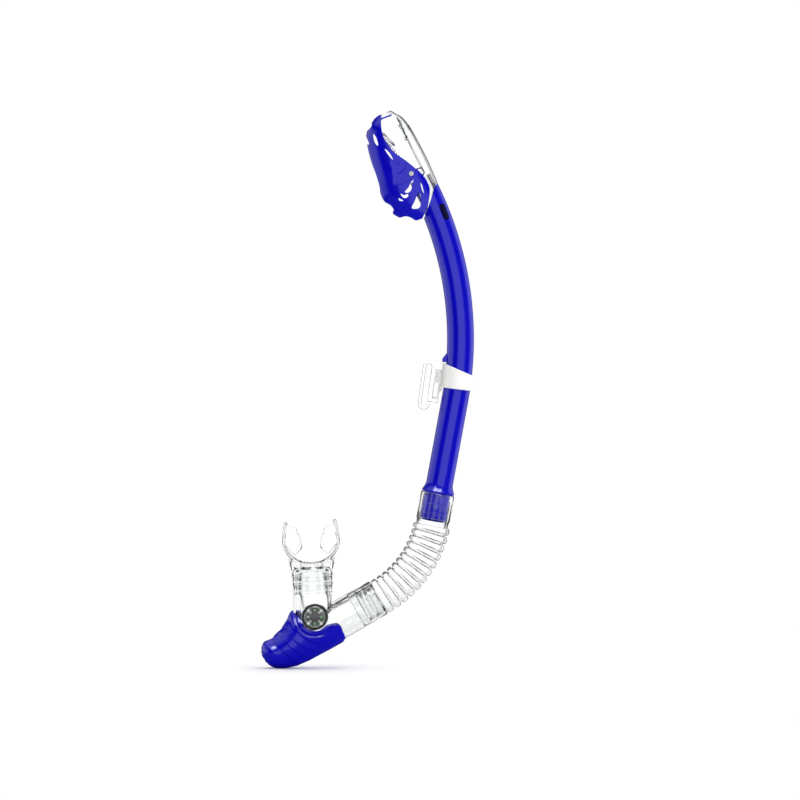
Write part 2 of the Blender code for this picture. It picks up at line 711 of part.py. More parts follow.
# the housing's round barrel swells into the purge chamber, and the cover's nose carries on past it:
# distance along the branch, then the height of the middle above the branch axis, the half height
# and the half depth, all in millimetres
NOSE_TIP = [(-83.2, 3.9, 3.4, 4.6)]
NOSE = [(-82.0, 3.0, 4.9, 6.4), (-80.4, 3.0, 7.4, 9.0), (-77, 3.1, 10.2, 11.0),
        (-69, 1.0, 12.2, 12.6), (-63, 0.8, 14.1, 14.2)]
CHAMBER = [(-60, 1.0, 14.6, 14.6), (-52, 2.5, 17.1, 15.0), (-44, 4.6, 19.4, 15.2),
           (-32, 0.6, 15.8, 15.3)]
BARREL = [(-22, 0.0, 15.3, 15.3)]


def chamber(name, grow, finish, stations):
    """A loft along the branch through the given stations, grown all round."""
    rings = []
    up = Vector((-branch_along().y, branch_along().x))
    for along, middle, half_height, half_depth in stations:
        centre = branch_point(along * MM) + up * middle * MM
        rings.append(oval(centre, up, half_height * MM + grow, half_depth * MM + grow))
    return skin(name, rings, finish)


def build_housing():
    """Clear housing: barrel with its chamber, stem and spigots joined, then hollowed out."""
    cuff_end = (-GAP / MM, 0.0, BARREL_RADIUS / MM, BARREL_RADIUS / MM)
    housing = chamber("mouthpiece_housing", 0.0, "clear_plastic", CHAMBER + BARREL + [cuff_end])
    shape(housing, stem("housing_stem", 0.0, None), "UNION")
    spigot = barbs(-2 * MM, BRANCH_SPIGOT_RADIUS, [6.0 * MM, 12.0 * MM])
    spigot.append((BRANCH_SPIGOT_LENGTH, BRANCH_SPIGOT_RADIUS))
    shape(housing, turned("housing_branch_spigot", BRANCH_END, branch_along(), spigot, None,
                          loop=False), "UNION")
    place = tilted(MOUTH_BASE, -MOUTH_LEAN)
    across = direction(MOUTH_LEAN)
    rings = [oval(place(0, height), across, STEM_SPIGOT_HALF_WIDTH, STEM_SPIGOT_HALF_DEPTH,
                  power=2.3) for height in (-4 * MM, STEM_SPIGOT_LENGTH)]
    shape(housing, skin("housing_stem_spigot", rings, None), "UNION")
    boss = facing("housing_compass_boss", COMPASS_CENTRE,
                  [(COMPASS_BOSS_FACE, COMPASS_RADIUS + 0.4 * MM), (-8 * MM, COMPASS_RADIUS + 0.4 * MM)],
                  None)
    shape(housing, boss, "UNION")
    hollow = [(-48.7 * MM, BARREL_BORE_RADIUS), (30 * MM, BARREL_BORE_RADIUS)]
    shape(housing, turned("housing_bore", BRANCH_END, branch_along(), hollow, None, loop=False))
    inner_stations = [(-64, 1.0, 14.6, 14.6)] + CHAMBER[:-1]
    shape(housing, chamber("housing_chamber_hollow", -HOUSING_WALL, None, inner_stations))
    rings = [oval(place(0, height), across, STEM_BORE_HALF_WIDTH, STEM_BORE_HALF_DEPTH, power=2.3)
             for height in (-18.6 * MM, STEM_SPIGOT_LENGTH + 8 * MM)]
    shape(housing, skin("housing_stem_bore", rings, None))
    return housing


def purge_centre(distance):
    """A place on the purge valve's axis, which runs beside the branch axis."""
    up = Vector((-branch_along().y, branch_along().x))
    return branch_point(distance) + up * 1.2 * MM


def build_purge_seat():
    """Grid plate at the end of the chamber that the purge diaphragm lies on."""
    start = -BARREL_LENGTH - GAP
    along = branch_along()
    profile = [(start - 2.0 * MM, 13.2 * MM), (start, 13.2 * MM)]
    seat = turned("purge_seat", purge_centre(0), along, profile, "clear_plastic", loop=False)
    hub = [(start - 4 * MM, 1.5 * MM), (start + 3 * MM, 1.5 * MM)]
    shape(seat, turned("purge_hub_hole", purge_centre(0), along, hub, None, loop=False, steps=16))
    up = Vector((-along.y, along.x))
    for i in range(4):
        turn = math.radians(45 + 90 * i)
        flat = purge_centre(0) + up * 6.4 * MM * math.cos(turn)
        hole = turned(f"purge_window_{i}", flat, along,
                      [(start - 4 * MM, 3.2 * MM), (start + 3 * MM, 3.2 * MM)], None, loop=False,
                      steps=20)
        hole.location.y = 6.4 * MM * math.sin(turn)
        shape(seat, hole)
    return seat


def build_purge_diaphragm():
    """Soft mushroom valve: a thin disc outside the seat and a stem with a bead inside."""
    face = -BARREL_LENGTH - GAP - 2.0 * MM - GAP
    profile = [(face - 1.6 * MM, 1.0 * MM), (face - 1.4 * MM, 7.0 * MM), (face - 0.7 * MM, 11.2 * MM),
               (face, 11.2 * MM), (face, 1.15 * MM), (face + 5.4 * MM, 1.15 * MM),
               (face + 5.6 * MM, 2.1 * MM), (face + 7.2 * MM, 1.2 * MM)]
    middle = purge_centre(face)
    return turned("purge_diaphragm", purge_centre(0), branch_along(), profile,
                  "grey_seal_silicone", loop=False, origin=(middle.x, 0, middle.y), steps=28)


def cover_outline():
    """Side view of the purge cover: it cups the compass above and runs straight below."""
    pocket = arc(COMPASS_CENTRE, 11.4 * MM, 205, 318, 12)
    top = [Vector(p) * MM for p in ((-102.6, -186.0), (-106.0, -180.6), (-108.4, -179.4),
                                    (-112.5, -186.5), (-140.0, -198.0))]
    tail = [Vector(p) * MM for p in ((-140, -240), (-85, -240), (-62.9, -203.0), (-63.6, -200.4),
                                     (-68.0, -194.4), (-73.4, -190.4), (-76.6, -190.8))]
    return pocket[:-1] + tail[::-1] + top[::-1]


def build_purge_cover():
    """Blue shell clipped over the housing, open where the compass sits, slotted at its nose."""
    grow = GAP + COVER_WALL
    stations = NOSE + CHAMBER + BARREL
    tail = (-8.0, 0.0, BARREL_RADIUS / MM, BARREL_RADIUS / MM)
    cover = chamber("purge_cover", grow, "blue_plastic", NOSE_TIP + stations + [tail])
    shape(cover, stem("cover_stem", grow, None), "UNION")
    shape(cover, prism("cover_trim", cover_outline(), -30 * MM, 30 * MM, None), "INTERSECT")
    open_end = (-4.0, 0.0, BARREL_RADIUS / MM, BARREL_RADIUS / MM)
    shape(cover, chamber("cover_hollow", GAP, None, stations + [open_end]))
    shape(cover, stem("cover_stem_hollow", GAP, None, foot=STEM_FOOT_Z + 1 * MM,
                      top=STEM_SHOULDER_Z + 10 * MM))
    up = Vector((-branch_along().y, branch_along().x))
    for i, height in enumerate((-0.9, 3.1, 7.1)):
        middle = branch_point(-84 * MM) + up * height * MM
        outline = [middle - branch_along() * 6 * MM - up * 1.2 * MM,
                   middle + branch_along() * 6 * MM - up * 1.2 * MM,
                   middle + branch_along() * 6 * MM + up * 1.2 * MM,
                   middle - branch_along() * 6 * MM + up * 1.2 * MM]
        half = 6.5 * MM if i == 1 else 5.0 * MM
        shape(cover, prism(f"cover_outlet_{i}", outline, -half, half, None))
    return cover


# ---------------------------------------------------------------- compass


def build_compass():
    """Button compass: case, floating card on a pivot, and lens."""
    back = COMPASS_BOSS_FACE - GAP
    front = back - COMPASS_DEPTH
    radius = COMPASS_RADIUS
    inner = radius - 1.5 * MM
    floor = back - 1.2 * MM
    case = facing("compass_case", COMPASS_CENTRE,
                  [(back, radius), (front + 0.5 * MM, radius), (front, radius - 0.5 * MM),
                   (front, inner), (floor, inner)], "black_plastic")
    pivot = facing("compass_pivot", COMPASS_CENTRE,
                   [(floor - GAP, 1.2 * MM), (floor - 0.7 * MM, 1.2 * MM),
                    (floor - 0.9 * MM, 0.45 * MM), (floor - 1.9 * MM, 0.15 * MM)],
                   "steel", steps=14)
    card_back = floor - 1.3 * MM
    card = facing("compass_card", COMPASS_CENTRE,
                  [(card_back, 1.0 * MM), (card_back, inner - 0.5 * MM),
                   (card_back - 0.5 * MM, inner - 0.5 * MM), (card_back - 0.5 * MM, 1.4 * MM),
                   (card_back - 1.2 * MM, 0.9 * MM), (card_back - 0.8 * MM, 0.6 * MM)],
                  "black_plastic", origin=(COMPASS_CENTRE.x, 0, COMPASS_CENTRE.y), loop=True)
    lens = facing("compass_lens", COMPASS_CENTRE,
                  [(front + 1.0 * MM, inner - GAP), (front - 0.1 * MM, inner - GAP),
                   (front - 0.5 * MM, inner - 2.0 * MM)], "clear_plastic")
    return case, pivot, card, lens


# ---------------------------------------------------------------- mouthpiece


def flange_path(place):
    """Horseshoe centre line, from the left tip round the back to the right tip."""
    half = MOUTH_WIDEST / 2 - 1.2 * MM
    left = [place(-half + 2.4 * MM, 57.0 * MM), place(-half + 0.6 * MM, 50.0 * MM)]
    bend = []
    for i in range(17):
        angle = math.pi + math.pi * i / 16
        bend.append(place(half * math.cos(angle), 42.0 * MM + 18.6 * MM * math.sin(angle)))
    right = [place(half - 0.6 * MM, 50.0 * MM), place(half - 2.4 * MM, 58.2 * MM)]
    return left + bend + right


def build_mouthpiece():
    """Soft mouthpiece: cuff over the stem, horseshoe flange and two bite tabs."""
    place = tilted(MOUTH_BASE, -MOUTH_LEAN)
    across = direction(MOUTH_LEAN)

    def cuff_oval(height, half_width, half_depth):
        return oval(place(0, height * MM), across, half_width * MM, half_depth * MM, power=2.3)

    outer = [cuff_oval(0, 15.2, 11.6), cuff_oval(8, 15.8, 11.8), cuff_oval(19, 16.8, 11.6),
             cuff_oval(24, 18.0, 10.6), cuff_oval(28, 18.4, 8.6)]
    inner = [cuff_oval(28, 8.8, 4.6), cuff_oval(21, 8.8, 4.8), cuff_oval(19.2, 14.0, 10.2),
             cuff_oval(0, 14.0, 10.2)]
    piece = skin("mouthpiece", outer + inner, "clear_silicone", loop=True)

    path = flange_path(place)
    rings = []
    for i, point in enumerate(path):
        ahead = path[min(i + 1, len(path) - 1)] - path[max(i - 1, 0)]
        normal = Vector((ahead.y, -ahead.x)).normalized()
        share = abs(2 * i / (len(path) - 1) - 1)
        half_height = (11.5 - 4.5 * share**3) * MM
        rings.append(oval(point, normal, 1.2 * MM, half_height, steps=16, power=2.6))
    shape(piece, skin("mouth_flange", rings, None), "UNION")
    half = MOUTH_WIDEST / 2 - 1.4 * MM
    for side in (-1, 1):
        outline = [(side * (half - 2.8 * MM), 55 * MM), (side * (half - 10.5 * MM), 52.6 * MM),
                   (side * (half - 13.2 * MM), 45 * MM), (side * (half - 14.6 * MM), 36.5 * MM),
                   (side * (half - 8.4 * MM), 30.8 * MM), (side * (half - 0.2 * MM), 40 * MM)]
        tab = [place(a, b) for a, b in outline]
        label = "left" if side < 0 else "right"
        shape(piece, prism(f"bite_tab_{label}", tab, -BITE_THICKNESS / 2, BITE_THICKNESS / 2, None),
              "UNION")
        ridge = [place(side * (half - 10.0 * MM), 50 * MM), place(side * (half - 12.8 * MM), 45 * MM),
                 place(side * (half - 14.2 * MM), 37.2 * MM), place(side * (half - 11.6 * MM), 36.4 * MM),
                 place(side * (half - 9.6 * MM), 44 * MM)]
        shape(piece, prism(f"bite_ridge_{label}", ridge, -4.4 * MM, 4.4 * MM, None), "UNION")
    airway = [cuff_oval(18.0, 8.8, 4.6), cuff_oval(34, 8.8, 4.6)]
    shape(piece, skin("mouth_airway", airway, None))
    return piece


# ---------------------------------------------------------------- scene


def clear_scene():
    for obj in list(bpy.data.objects):
        bpy.data.objects.remove(obj, do_unlink=True)


def main():
    clear_scene()
    build_main_tube()
    build_guard()
    build_dome()
    build_neck_spigot()
    build_latch()
    build_valve_seat()
    build_hinge_pin()
    build_float()
    build_float_lever()
    build_seal()
    build_keeper()
    build_strap_clip()
    build_hose()
    build_housing()
    build_purge_seat()
    build_purge_diaphragm()
    build_purge_cover()
    build_compass()
    build_mouthpiece()


main()
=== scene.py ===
"""Finished look of a dry-top snorkel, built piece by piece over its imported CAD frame.

World frame, in metres: +Z up along the tube, +X towards the outer side of its bend, and the viewer
looks along +Y. Flat shapes are drawn in the X-Z plane, as seen by that viewer.
"""

import math

import bmesh
import bpy
from bpy.props import FloatProperty, FloatVectorProperty, IntProperty, PointerProperty
from bpy.types import Operator, Panel, PropertyGroup
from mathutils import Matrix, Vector


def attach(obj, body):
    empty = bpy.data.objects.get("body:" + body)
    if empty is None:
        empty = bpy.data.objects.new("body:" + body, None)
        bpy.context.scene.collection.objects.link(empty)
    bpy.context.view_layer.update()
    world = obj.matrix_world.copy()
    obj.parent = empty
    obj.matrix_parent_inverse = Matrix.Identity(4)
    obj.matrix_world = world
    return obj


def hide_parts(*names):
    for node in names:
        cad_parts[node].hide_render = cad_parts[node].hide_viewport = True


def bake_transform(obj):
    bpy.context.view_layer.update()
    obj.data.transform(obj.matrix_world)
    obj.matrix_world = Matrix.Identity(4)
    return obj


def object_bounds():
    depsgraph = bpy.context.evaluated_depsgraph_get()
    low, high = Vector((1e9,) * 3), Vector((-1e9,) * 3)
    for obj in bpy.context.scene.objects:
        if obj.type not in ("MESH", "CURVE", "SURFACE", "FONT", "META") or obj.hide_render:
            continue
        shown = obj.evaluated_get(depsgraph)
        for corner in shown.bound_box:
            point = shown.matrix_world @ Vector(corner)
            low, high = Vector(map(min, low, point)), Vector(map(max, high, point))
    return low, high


bl_info = {
    "name": "Dry-top snorkel",
    "version": (1, 0, 0),
    "blender": (4, 5, 0),
    "location": "View3D > Sidebar > Snorkel",
    "description": "Builds the visible pieces of a dry-top snorkel over its CAD frame",
    "category": "Object",
}

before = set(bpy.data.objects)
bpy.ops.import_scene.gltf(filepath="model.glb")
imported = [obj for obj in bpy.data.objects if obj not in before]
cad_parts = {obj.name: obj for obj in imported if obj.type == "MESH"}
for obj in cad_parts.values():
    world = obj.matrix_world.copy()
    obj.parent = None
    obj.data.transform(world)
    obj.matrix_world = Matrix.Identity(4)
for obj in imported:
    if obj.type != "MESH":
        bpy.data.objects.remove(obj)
CAD_LOW, CAD_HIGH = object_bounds()
MM = 0.001

# main tube
TUBE_CROWN = Vector((27.2 * MM, 37.0 * MM))
TUBE_BEND_RADIUS = 270.0 * MM
TUBE_TOP_ANGLE = 27.5
LEG_LEAN = 10.4
TUBE_RADIUS = 10.8 * MM
TUBE_BORE_RADIUS = 9.2 * MM
SPIGOT_RADIUS = 10.5 * MM
FLARE_START = 68.0 * MM
FLARE_END = 76.0 * MM
SPIGOT_END = 96.5 * MM
MITRE_LOW = Vector((-1.2 * MM, 135.6 * MM))
MITRE_HIGH = Vector((9.0 * MM, 163.4 * MM))
LATCH_ANGLE = 21.6

# hose
HOSE_BEND_RADIUS = 86.0 * MM
HOSE_BORE_RADIUS = 11.4 * MM
HOSE_VALLEY_RADIUS = 12.6 * MM
HOSE_UPPER_CUFF_RADIUS = 13.5 * MM
HOSE_LOWER_CUFF_RADIUS = 15.0 * MM
BRANCH_ANGLE = 30.0
BRANCH_END = Vector((-56.4 * MM, -180.4 * MM))
BRANCH_HOSE_LENGTH = 22.6 * MM
BRANCH_SPIGOT_RADIUS = 12.5 * MM
BRANCH_SPIGOT_LENGTH = 19.0 * MM
BARB_HEIGHT = 0.8 * MM

# housing
HOUSING_WALL = 1.8 * MM
STEM_CENTRE_X = -91.25 * MM
STEM_FOOT_Z = -188.3 * MM
STEM_SHOULDER_Z = -167.6 * MM
COVER_GAP = 0.3 * MM
COVER_WALL = 1.3 * MM

# compass
COMPASS_CENTRE = Vector((-89.2 * MM, -184.8 * MM))
COMPASS_RADIUS = 10.4 * MM
COMPASS_BACK = -16.0 * MM
COMPASS_FRONT = -21.2 * MM

# mouthpiece
MOUTH_BASE = Vector((-90.8 * MM, -166.6 * MM))
MOUTH_LEAN = 2.3

# strap clip and keeper
CLIP_LEAN = 8.0
KEEPER_LEAN = 7.0
KEEPER_CENTRE = Vector((25.2 * MM, 4.0 * MM))

# dry top
HEAD_ORIGIN = Vector((0.0, 150.0 * MM))
HEAD_LEAN = 21.0
HEAD_WALL = 1.8 * MM
DOME_WALL = 1.2 * MM
FLOAT_PIVOT = Vector((-12.1 * MM, 169.0 * MM))
SEAL_REACH = 33.0 * MM
SEAL_ANGLE = 124.0
SEAL_FACING = 44.0


def linear(hex_colour):
    """The linear colour that a shader needs, from an sRGB hex value."""
    channels = [int(hex_colour[i:i + 2], 16) / 255 for i in (1, 3, 5)]
    return [c / 12.92 if c <= 0.04045 else ((c + 0.055) / 1.055) ** 2.4 for c in channels]


# ---------------------------------------------------------------- settings


def colour_setting(name, description, hex_colour):
    """A colour that the sidebar shows."""
    return FloatVectorProperty(name=name, description=description, default=linear(hex_colour),
                               subtype="COLOR", min=0.0, max=1.0)


def length_setting(name, description, millimetres):
    """A length that the sidebar shows."""
    return FloatProperty(name=name, description=description, default=millimetres * MM,
                         min=0.0, unit="LENGTH", precision=5)


class SnorkelSizes(PropertyGroup):
    """Sizes that can be changed without moving the CAD frame."""

    rib_count: IntProperty(name="Hose ribs", description="Round ribs along the hose",
                           default=12, min=4, max=20)
    rib_height: length_setting("Hose rib height", "How far each rib stands out of the hose", 2.4)
    ridge_height: length_setting("Cover ridge height", "Step at each ridge of the purge cover", 0.65)
    guard_step: length_setting("Guard step height", "Step at each arc on the dry top's guard", 0.45)
    tick_count: IntProperty(name="Compass ticks", description="Ticks round the compass card",
                            default=36, min=12, max=120)
    floor_radius: FloatProperty(name="Floor radius", description="Radius of the pale floor",
                                default=0.7, min=0.3, unit="LENGTH")


class SnorkelColours(PropertyGroup):
    """Colours that can be changed."""

    blue: colour_setting("Blue", "Moulded blue of the tube, guard and purge cover", "#0300B4")
    clear: colour_setting("Clear plastic", "Tint of the clear hard plastic", "#FCFDFD")
    silicone: colour_setting("Clear silicone", "Tint of the hose and mouthpiece", "#FAFBFB")
    white: colour_setting("White plastic", "Keeper band, lever and float", "#F3F3F1")
    black: colour_setting("Black plastic", "Compass case", "#1B1B1D")
    card: colour_setting("Compass card", "Ground of the compass card", "#1C1C1D")
    glow: colour_setting("Pale green paint", "Ticks round the compass card", "#D3E0D5")
    leaf: colour_setting("Green paint", "Marks and arcs on the compass card", "#5C9C66")


# ---------------------------------------------------------------- flat shapes


def direction(degrees):
    """Unit vector in the X-Z plane, counted from +X towards +Z."""
    angle = math.radians(degrees)
    return Vector((math.cos(angle), math.sin(angle)))


def arc(centre, radius, start, end, steps):
    """Points on a circle from one angle to another, both ends included."""
    turn = (end - start) / steps
    return [Vector(centre) + radius * direction(start + turn * i) for i in range(steps + 1)]


def curve_through(points, steps, closed=False):
    """A smooth curve through the points, which may have any number of coordinates."""
    points = [Vector(p) for p in points]
    count = len(points)
    curve = []
    for i in range(count if closed else count - 1):
        if closed:
            a, b, c, d = (points[(i + k) % count] for k in (-1, 0, 1, 2))
        else:
            a, b = points[max(i - 1, 0)], points[i]
            c, d = points[i + 1], points[min(i + 2, count - 1)]
        for k in range(steps):
            t = k / steps
            curve.append(0.5 * (2 * b + (c - a) * t + (2 * a - 5 * b + 4 * c - d) * t**2
                                + (3 * b - a - 3 * c + d) * t**3))
    if not closed:
        curve.append(points[-1])
    return curve


def in_millimetres(points):
    return [Vector(p) * MM for p in points]


def straight_between(table, at):
    """The value at a place along a table of (place, value) pairs."""
    if at <= table[0][0]:
        return table[0][1]
    for (a, low), (b, high) in zip(table, table[1:]):
        if at <= b:
            return low + (high - low) * (at - a) / (b - a)
    return table[-1][1]


def eased(table, at, spread=4.0):
    """The same value with the table's corners rounded off over a short spread."""
    samples = 9
    places = [at + spread * (2 * i / (samples - 1) - 1) for i in range(samples)]
    return sum(straight_between(table, place) for place in places) / samples


def smooth_step(value, low, high):
    """0 below low, 1 above high and an easy rise between them."""
    t = min(max((value - low) / (high - low), 0.0), 1.0)
    return t * t * (3 - 2 * t)


def tilted(origin, lean):
    """A flat frame whose second axis leans from +Z towards +X: returns place(across, along)."""
    angle = math.radians(lean)
    across_axis = Vector((math.cos(angle), -math.sin(angle)))
    along_axis = Vector((math.sin(angle), math.cos(angle)))
    origin = Vector(origin)
    return lambda across, along: origin + across_axis * across + along_axis * along


# ---------------------------------------------------------------- meshes


def new_piece(name, points, faces, sharp=38):
    """An object from points and faces, with outward normals and edges sharp above an angle."""
    mesh = bpy.data.meshes.new(name)
    mesh.from_pydata([tuple(p) for p in points], [], faces)
    tidy_mesh(mesh)
    shade(mesh, sharp)
    piece = bpy.data.objects.new(name, mesh)
    bpy.context.scene.collection.objects.link(piece)
    return piece


def tidy_mesh(mesh):
    """Merges doubled points and turns every face outwards."""
    work = bmesh.new()
    work.from_mesh(mesh)
    bmesh.ops.remove_doubles(work, verts=work.verts, dist=0.001 * MM)
    bmesh.ops.recalc_face_normals(work, faces=work.faces)
    work.to_mesh(mesh)
    work.free()


def shade(mesh, sharp):
    mesh.polygons.foreach_set("use_smooth", [True] * len(mesh.polygons))
    mesh.set_sharp_from_angle(angle=math.radians(sharp))
    mesh.update()


def skin(name, rings, loop=False, sharp=38):
    """Joins rings of equal length into one closed skin: capped ends, or a loop back to the start."""
    width = len(rings[0])
    points = [p for ring in rings for p in ring]
    faces = []
    for i in range(len(rings) if loop else len(rings) - 1):
        j = (i + 1) % len(rings)
        for k in range(width):
            m = (k + 1) % width
            faces.append((i * width + k, i * width + m, j * width + m, j * width + k))
    if not loop:
        faces.append(tuple(range(width)))
        faces.append(tuple(range((len(rings) - 1) * width, len(rings) * width)))
    return new_piece(name, points, faces, sharp)


def oval(centre, across, half_across, half_depth, steps=72, power=2.0):
    """A ring round a point: wide along a flat direction, deep along Y."""
    points = []
    for i in range(steps):
        angle = 2 * math.pi * i / steps
        c, s = math.cos(angle), math.sin(angle)
        wide = math.copysign(abs(c) ** (2 / power), c) * half_across
        deep = math.copysign(abs(s) ** (2 / power), s) * half_depth
        flat = centre + across * wide
        points.append((flat.x, deep, flat.y))
    return points


def swept(name, path, profile, steps=72, loop=True, sharp=38):
    """A round piece along a path: path(distance) gives its middle and the direction across it."""
    rings = []
    for distance, radius in profile:
        middle, across = path(distance)
        rings.append(oval(middle, across, radius, radius, steps))
    return skin(name, rings, loop, sharp)


def straight_path(start, along):
    across = Vector((along.y, -along.x))
    return lambda distance: (start + along * distance, across)


def turned(name, centre, profile, steps=72, loop=False, sharp=38):
    """A round piece on an axis along Y, from (y, radius) pairs."""
    rings = []
    for y, radius in profile:
        ring = [centre + radius * direction(3 + 360 * i / steps) for i in range(steps)]
        rings.append([(p.x, y, p.y) for p in ring])
    return skin(name, rings, loop, sharp)


def prism(name, outline, near, far):
    """A flat outline in the X-Z plane given thickness along Y."""
    return skin(name, [[(p[0], y, p[1]) for p in outline] for y in (near, far)])


def settle(piece, sharp=38):
    """Turns the piece's modifiers into plain mesh."""
    graph = bpy.context.evaluated_depsgraph_get()
    made = bpy.data.meshes.new_from_object(piece.evaluated_get(graph))
    if not made.polygons:
        raise RuntimeError(f"{piece.name} came out empty")
    old = piece.data
    piece.modifiers.clear()
    piece.data = made
    bpy.data.meshes.remove(old)
    shade(made, sharp)


def shape(piece, tool, operation="DIFFERENCE"):
    """Cuts, joins or trims a piece with a helper solid, which is then thrown away."""
    step = piece.modifiers.new("shape", "BOOLEAN")
    step.operation = operation
    step.solver = "EXACT"
    step.object = tool
    settle(piece)
    bpy.data.objects.remove(tool, do_unlink=True)


def round_edges(piece, width, segments=3, angle=30):
    """Rounds the corners of a moulding."""
    step = piece.modifiers.new("round", "BEVEL")
    step.width = width
    step.segments = segments
    step.limit_method = "ANGLE"
    step.angle_limit = math.radians(angle)
    step.harden_normals = False
    settle(piece, sharp=60)


def joined(name, pieces):
    """One object from several, with their skins left as they are."""
    work = bmesh.new()
    for piece in pieces:
        work.from_mesh(piece.data)
        bpy.data.objects.remove(piece, do_unlink=True)
    mesh = bpy.data.meshes.new(name)
    work.to_mesh(mesh)
    work.free()
    shade(mesh, 38)
    made = bpy.data.objects.new(name, mesh)
    bpy.context.scene.collection.objects.link(made)
    return made


def emboss(piece, height):
    """Moves each point along its normal by height(point)."""
    normals = [vertex.normal.copy() for vertex in piece.data.vertices]
    for vertex, normal in zip(piece.data.vertices, normals):
        vertex.co += normal * height(vertex.co)
    piece.data.update()


def fit_piece(piece, body, finish, slot, *nodes):
    """Gives a piece its material and its body, and hides the CAD nodes that it stands for; slot is not
    used.
    """
    piece.data.materials.clear()
    piece.data.materials.append(finish)
    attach(piece, body)
    if nodes:
        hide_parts(*nodes)


def finish_node(name, finish):
    """Gives a CAD node that is kept a better material."""
    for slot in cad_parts[name].material_slots:
        slot.link = "OBJECT"
        slot.material = finish


# ---------------------------------------------------------------- materials


def add_node(tree, kind, sockets=None, links=None, **settings):
    """Adds one node with its settings, socket values and incoming links."""
    made = tree.nodes.new(kind)
    for key, value in settings.items():
        setattr(made, key, value)
    for socket, value in (sockets or {}).items():
        made.inputs[socket].default_value = value
    for socket, source in (links or {}).items():
        tree.links.new(source, made.inputs[socket])
    return made


def maths(tree, operation, *values):
    """Adds a Math node over numbers or other nodes' outputs, and returns its output."""
    made = tree.nodes.new("ShaderNodeMath")
    made.operation = operation
    for socket, value in zip(made.inputs, values):
        if isinstance(value, (int, float)):
            socket.default_value = value
        else:
            tree.links.new(value, socket)
    return made.outputs[0]


def ranged(tree, value, at, levels=(0.0, 1.0)):
    """Turns the range at = (low, high) of a value into the range levels, held at both ends."""
    made = add_node(tree, "ShaderNodeMapRange", {"From Min": at[0], "From Max": at[1],
                                                 "To Min": levels[0], "To Max": levels[1]},
                    {"Value": value})
    return made.outputs["Result"]


def choose(tree, share, low, high):
    """Mixes two levels: the first where share is 0, the second where it is 1."""
    made = tree.nodes.new("ShaderNodeMix")
    for socket, value in zip((made.inputs[0], made.inputs[2], made.inputs[3]), (share, low, high)):
        if isinstance(value, (int, float)):
            socket.default_value = value
        else:
            tree.links.new(value, socket)
    return made.outputs[0]


def per_metre(millimetres):
    """Texture scale for a pattern whose features are that far apart."""
    return 1000 / millimetres


def moulded(name, colour, roughness, ior, mottle=0.06, grain=0.9, relief=0.01,
            transmission=0.0, subsurface=0.0):
    """A moulded surface: faint mottling in the colour, uneven gloss and a fine orange peel."""
    found = bpy.data.materials.get(name)
    if found:
        return found
    made = bpy.data.materials.new(name)
    made.use_nodes = True
    tree = made.node_tree
    shader = tree.nodes["Principled BSDF"]
    shader.inputs["IOR"].default_value = ior
    shader.inputs["Transmission Weight"].default_value = transmission
    shader.inputs["Subsurface Weight"].default_value = subsurface
    shader.inputs["Subsurface Scale"].default_value = 1.0 * MM
    place = add_node(tree, "ShaderNodeTexCoord").outputs["Object"]
    clouds = add_node(tree, "ShaderNodeTexNoise", {"Scale": per_metre(14), "Detail": 3.0},
                      {"Vector": place})
    peel = add_node(tree, "ShaderNodeTexNoise", {"Scale": per_metre(grain), "Detail": 2.0},
                    {"Vector": place})
    light = [min(c * (1 + mottle), 1.0) for c in colour]
    dark = [c * (1 - mottle) for c in colour]
    tint = add_node(tree, "ShaderNodeMix", {6: (*dark, 1.0), 7: (*light, 1.0)},
                    {0: clouds.outputs["Fac"]}, data_type="RGBA")
    tree.links.new(tint.outputs[2], shader.inputs["Base Color"])
    gloss = ranged(tree, clouds.outputs["Fac"], (0.0, 1.0), roughness)
    tree.links.new(gloss, shader.inputs["Roughness"])
    bump = add_node(tree, "ShaderNodeBump", {"Strength": 0.5, "Distance": relief * MM},
                    {"Height": peel.outputs["Fac"]})
    tree.links.new(bump.outputs["Normal"], shader.inputs["Normal"])
    return made


def let_lamps_in(clear):
    """Lets lamp light pass straight into a clear piece, so that what stands inside it is lit."""
    tree = clear.node_tree
    if tree.nodes.get("Mix Shader"):
        return clear
    lamp = add_node(tree, "ShaderNodeLightPath").outputs["Is Shadow Ray"]
    air = add_node(tree, "ShaderNodeBsdfTransparent").outputs["BSDF"]
    body = tree.nodes["Principled BSDF"].outputs["BSDF"]
    both = add_node(tree, "ShaderNodeMixShader", links={0: lamp, 1: body, 2: air})
    tree.links.new(both.outputs["Shader"], tree.nodes["Material Output"].inputs["Surface"])
    return clear


def blue_abs():
    # Moulded ABS, gloss blue: deep even colour under sharp soft-edged reflections.
    return moulded("blue_abs_gloss", colours().blue, (0.10, 0.18), 1.54, mottle=0.05)


def clear_polycarbonate():
    # Polished polycarbonate, clear: almost no colour, so only its edges draw grey lines.
    return let_lamps_in(moulded("clear_polycarbonate_polished", colours().clear, (0.0, 0.03), 1.58,
                                mottle=0.004, grain=3.0, relief=0.006, transmission=1.0))


def clear_dome_plastic():
    # Thin acrylic, clear: its index is set below the real 1.49, so that its edges stay pale.
    return let_lamps_in(moulded("clear_acrylic_blown", colours().clear, (0.0, 0.02), 1.38,
                                mottle=0.003, grain=5.0, relief=0.003, transmission=1.0))


def clear_silicone():
    # Moulded silicone, clear: lower index and a slightly rough skin, so its edges draw soft greys.
    return let_lamps_in(moulded("clear_silicone_moulded", colours().silicone, (0.02, 0.09), 1.41,
                                mottle=0.006, grain=4.0, relief=0.003, transmission=1.0))


def white_abs():
    # Moulded ABS, satin white: soft shading with a broad pale sheen.
    return moulded("white_abs_satin", colours().white, (0.28, 0.40), 1.54, mottle=0.015,
                   grain=0.5, subsurface=0.1)


def black_abs():
    # Moulded ABS, satin black: dark grey where light grazes it.
    return moulded("black_abs_satin", colours().black, (0.22, 0.34), 1.54, mottle=0.15, grain=0.4)


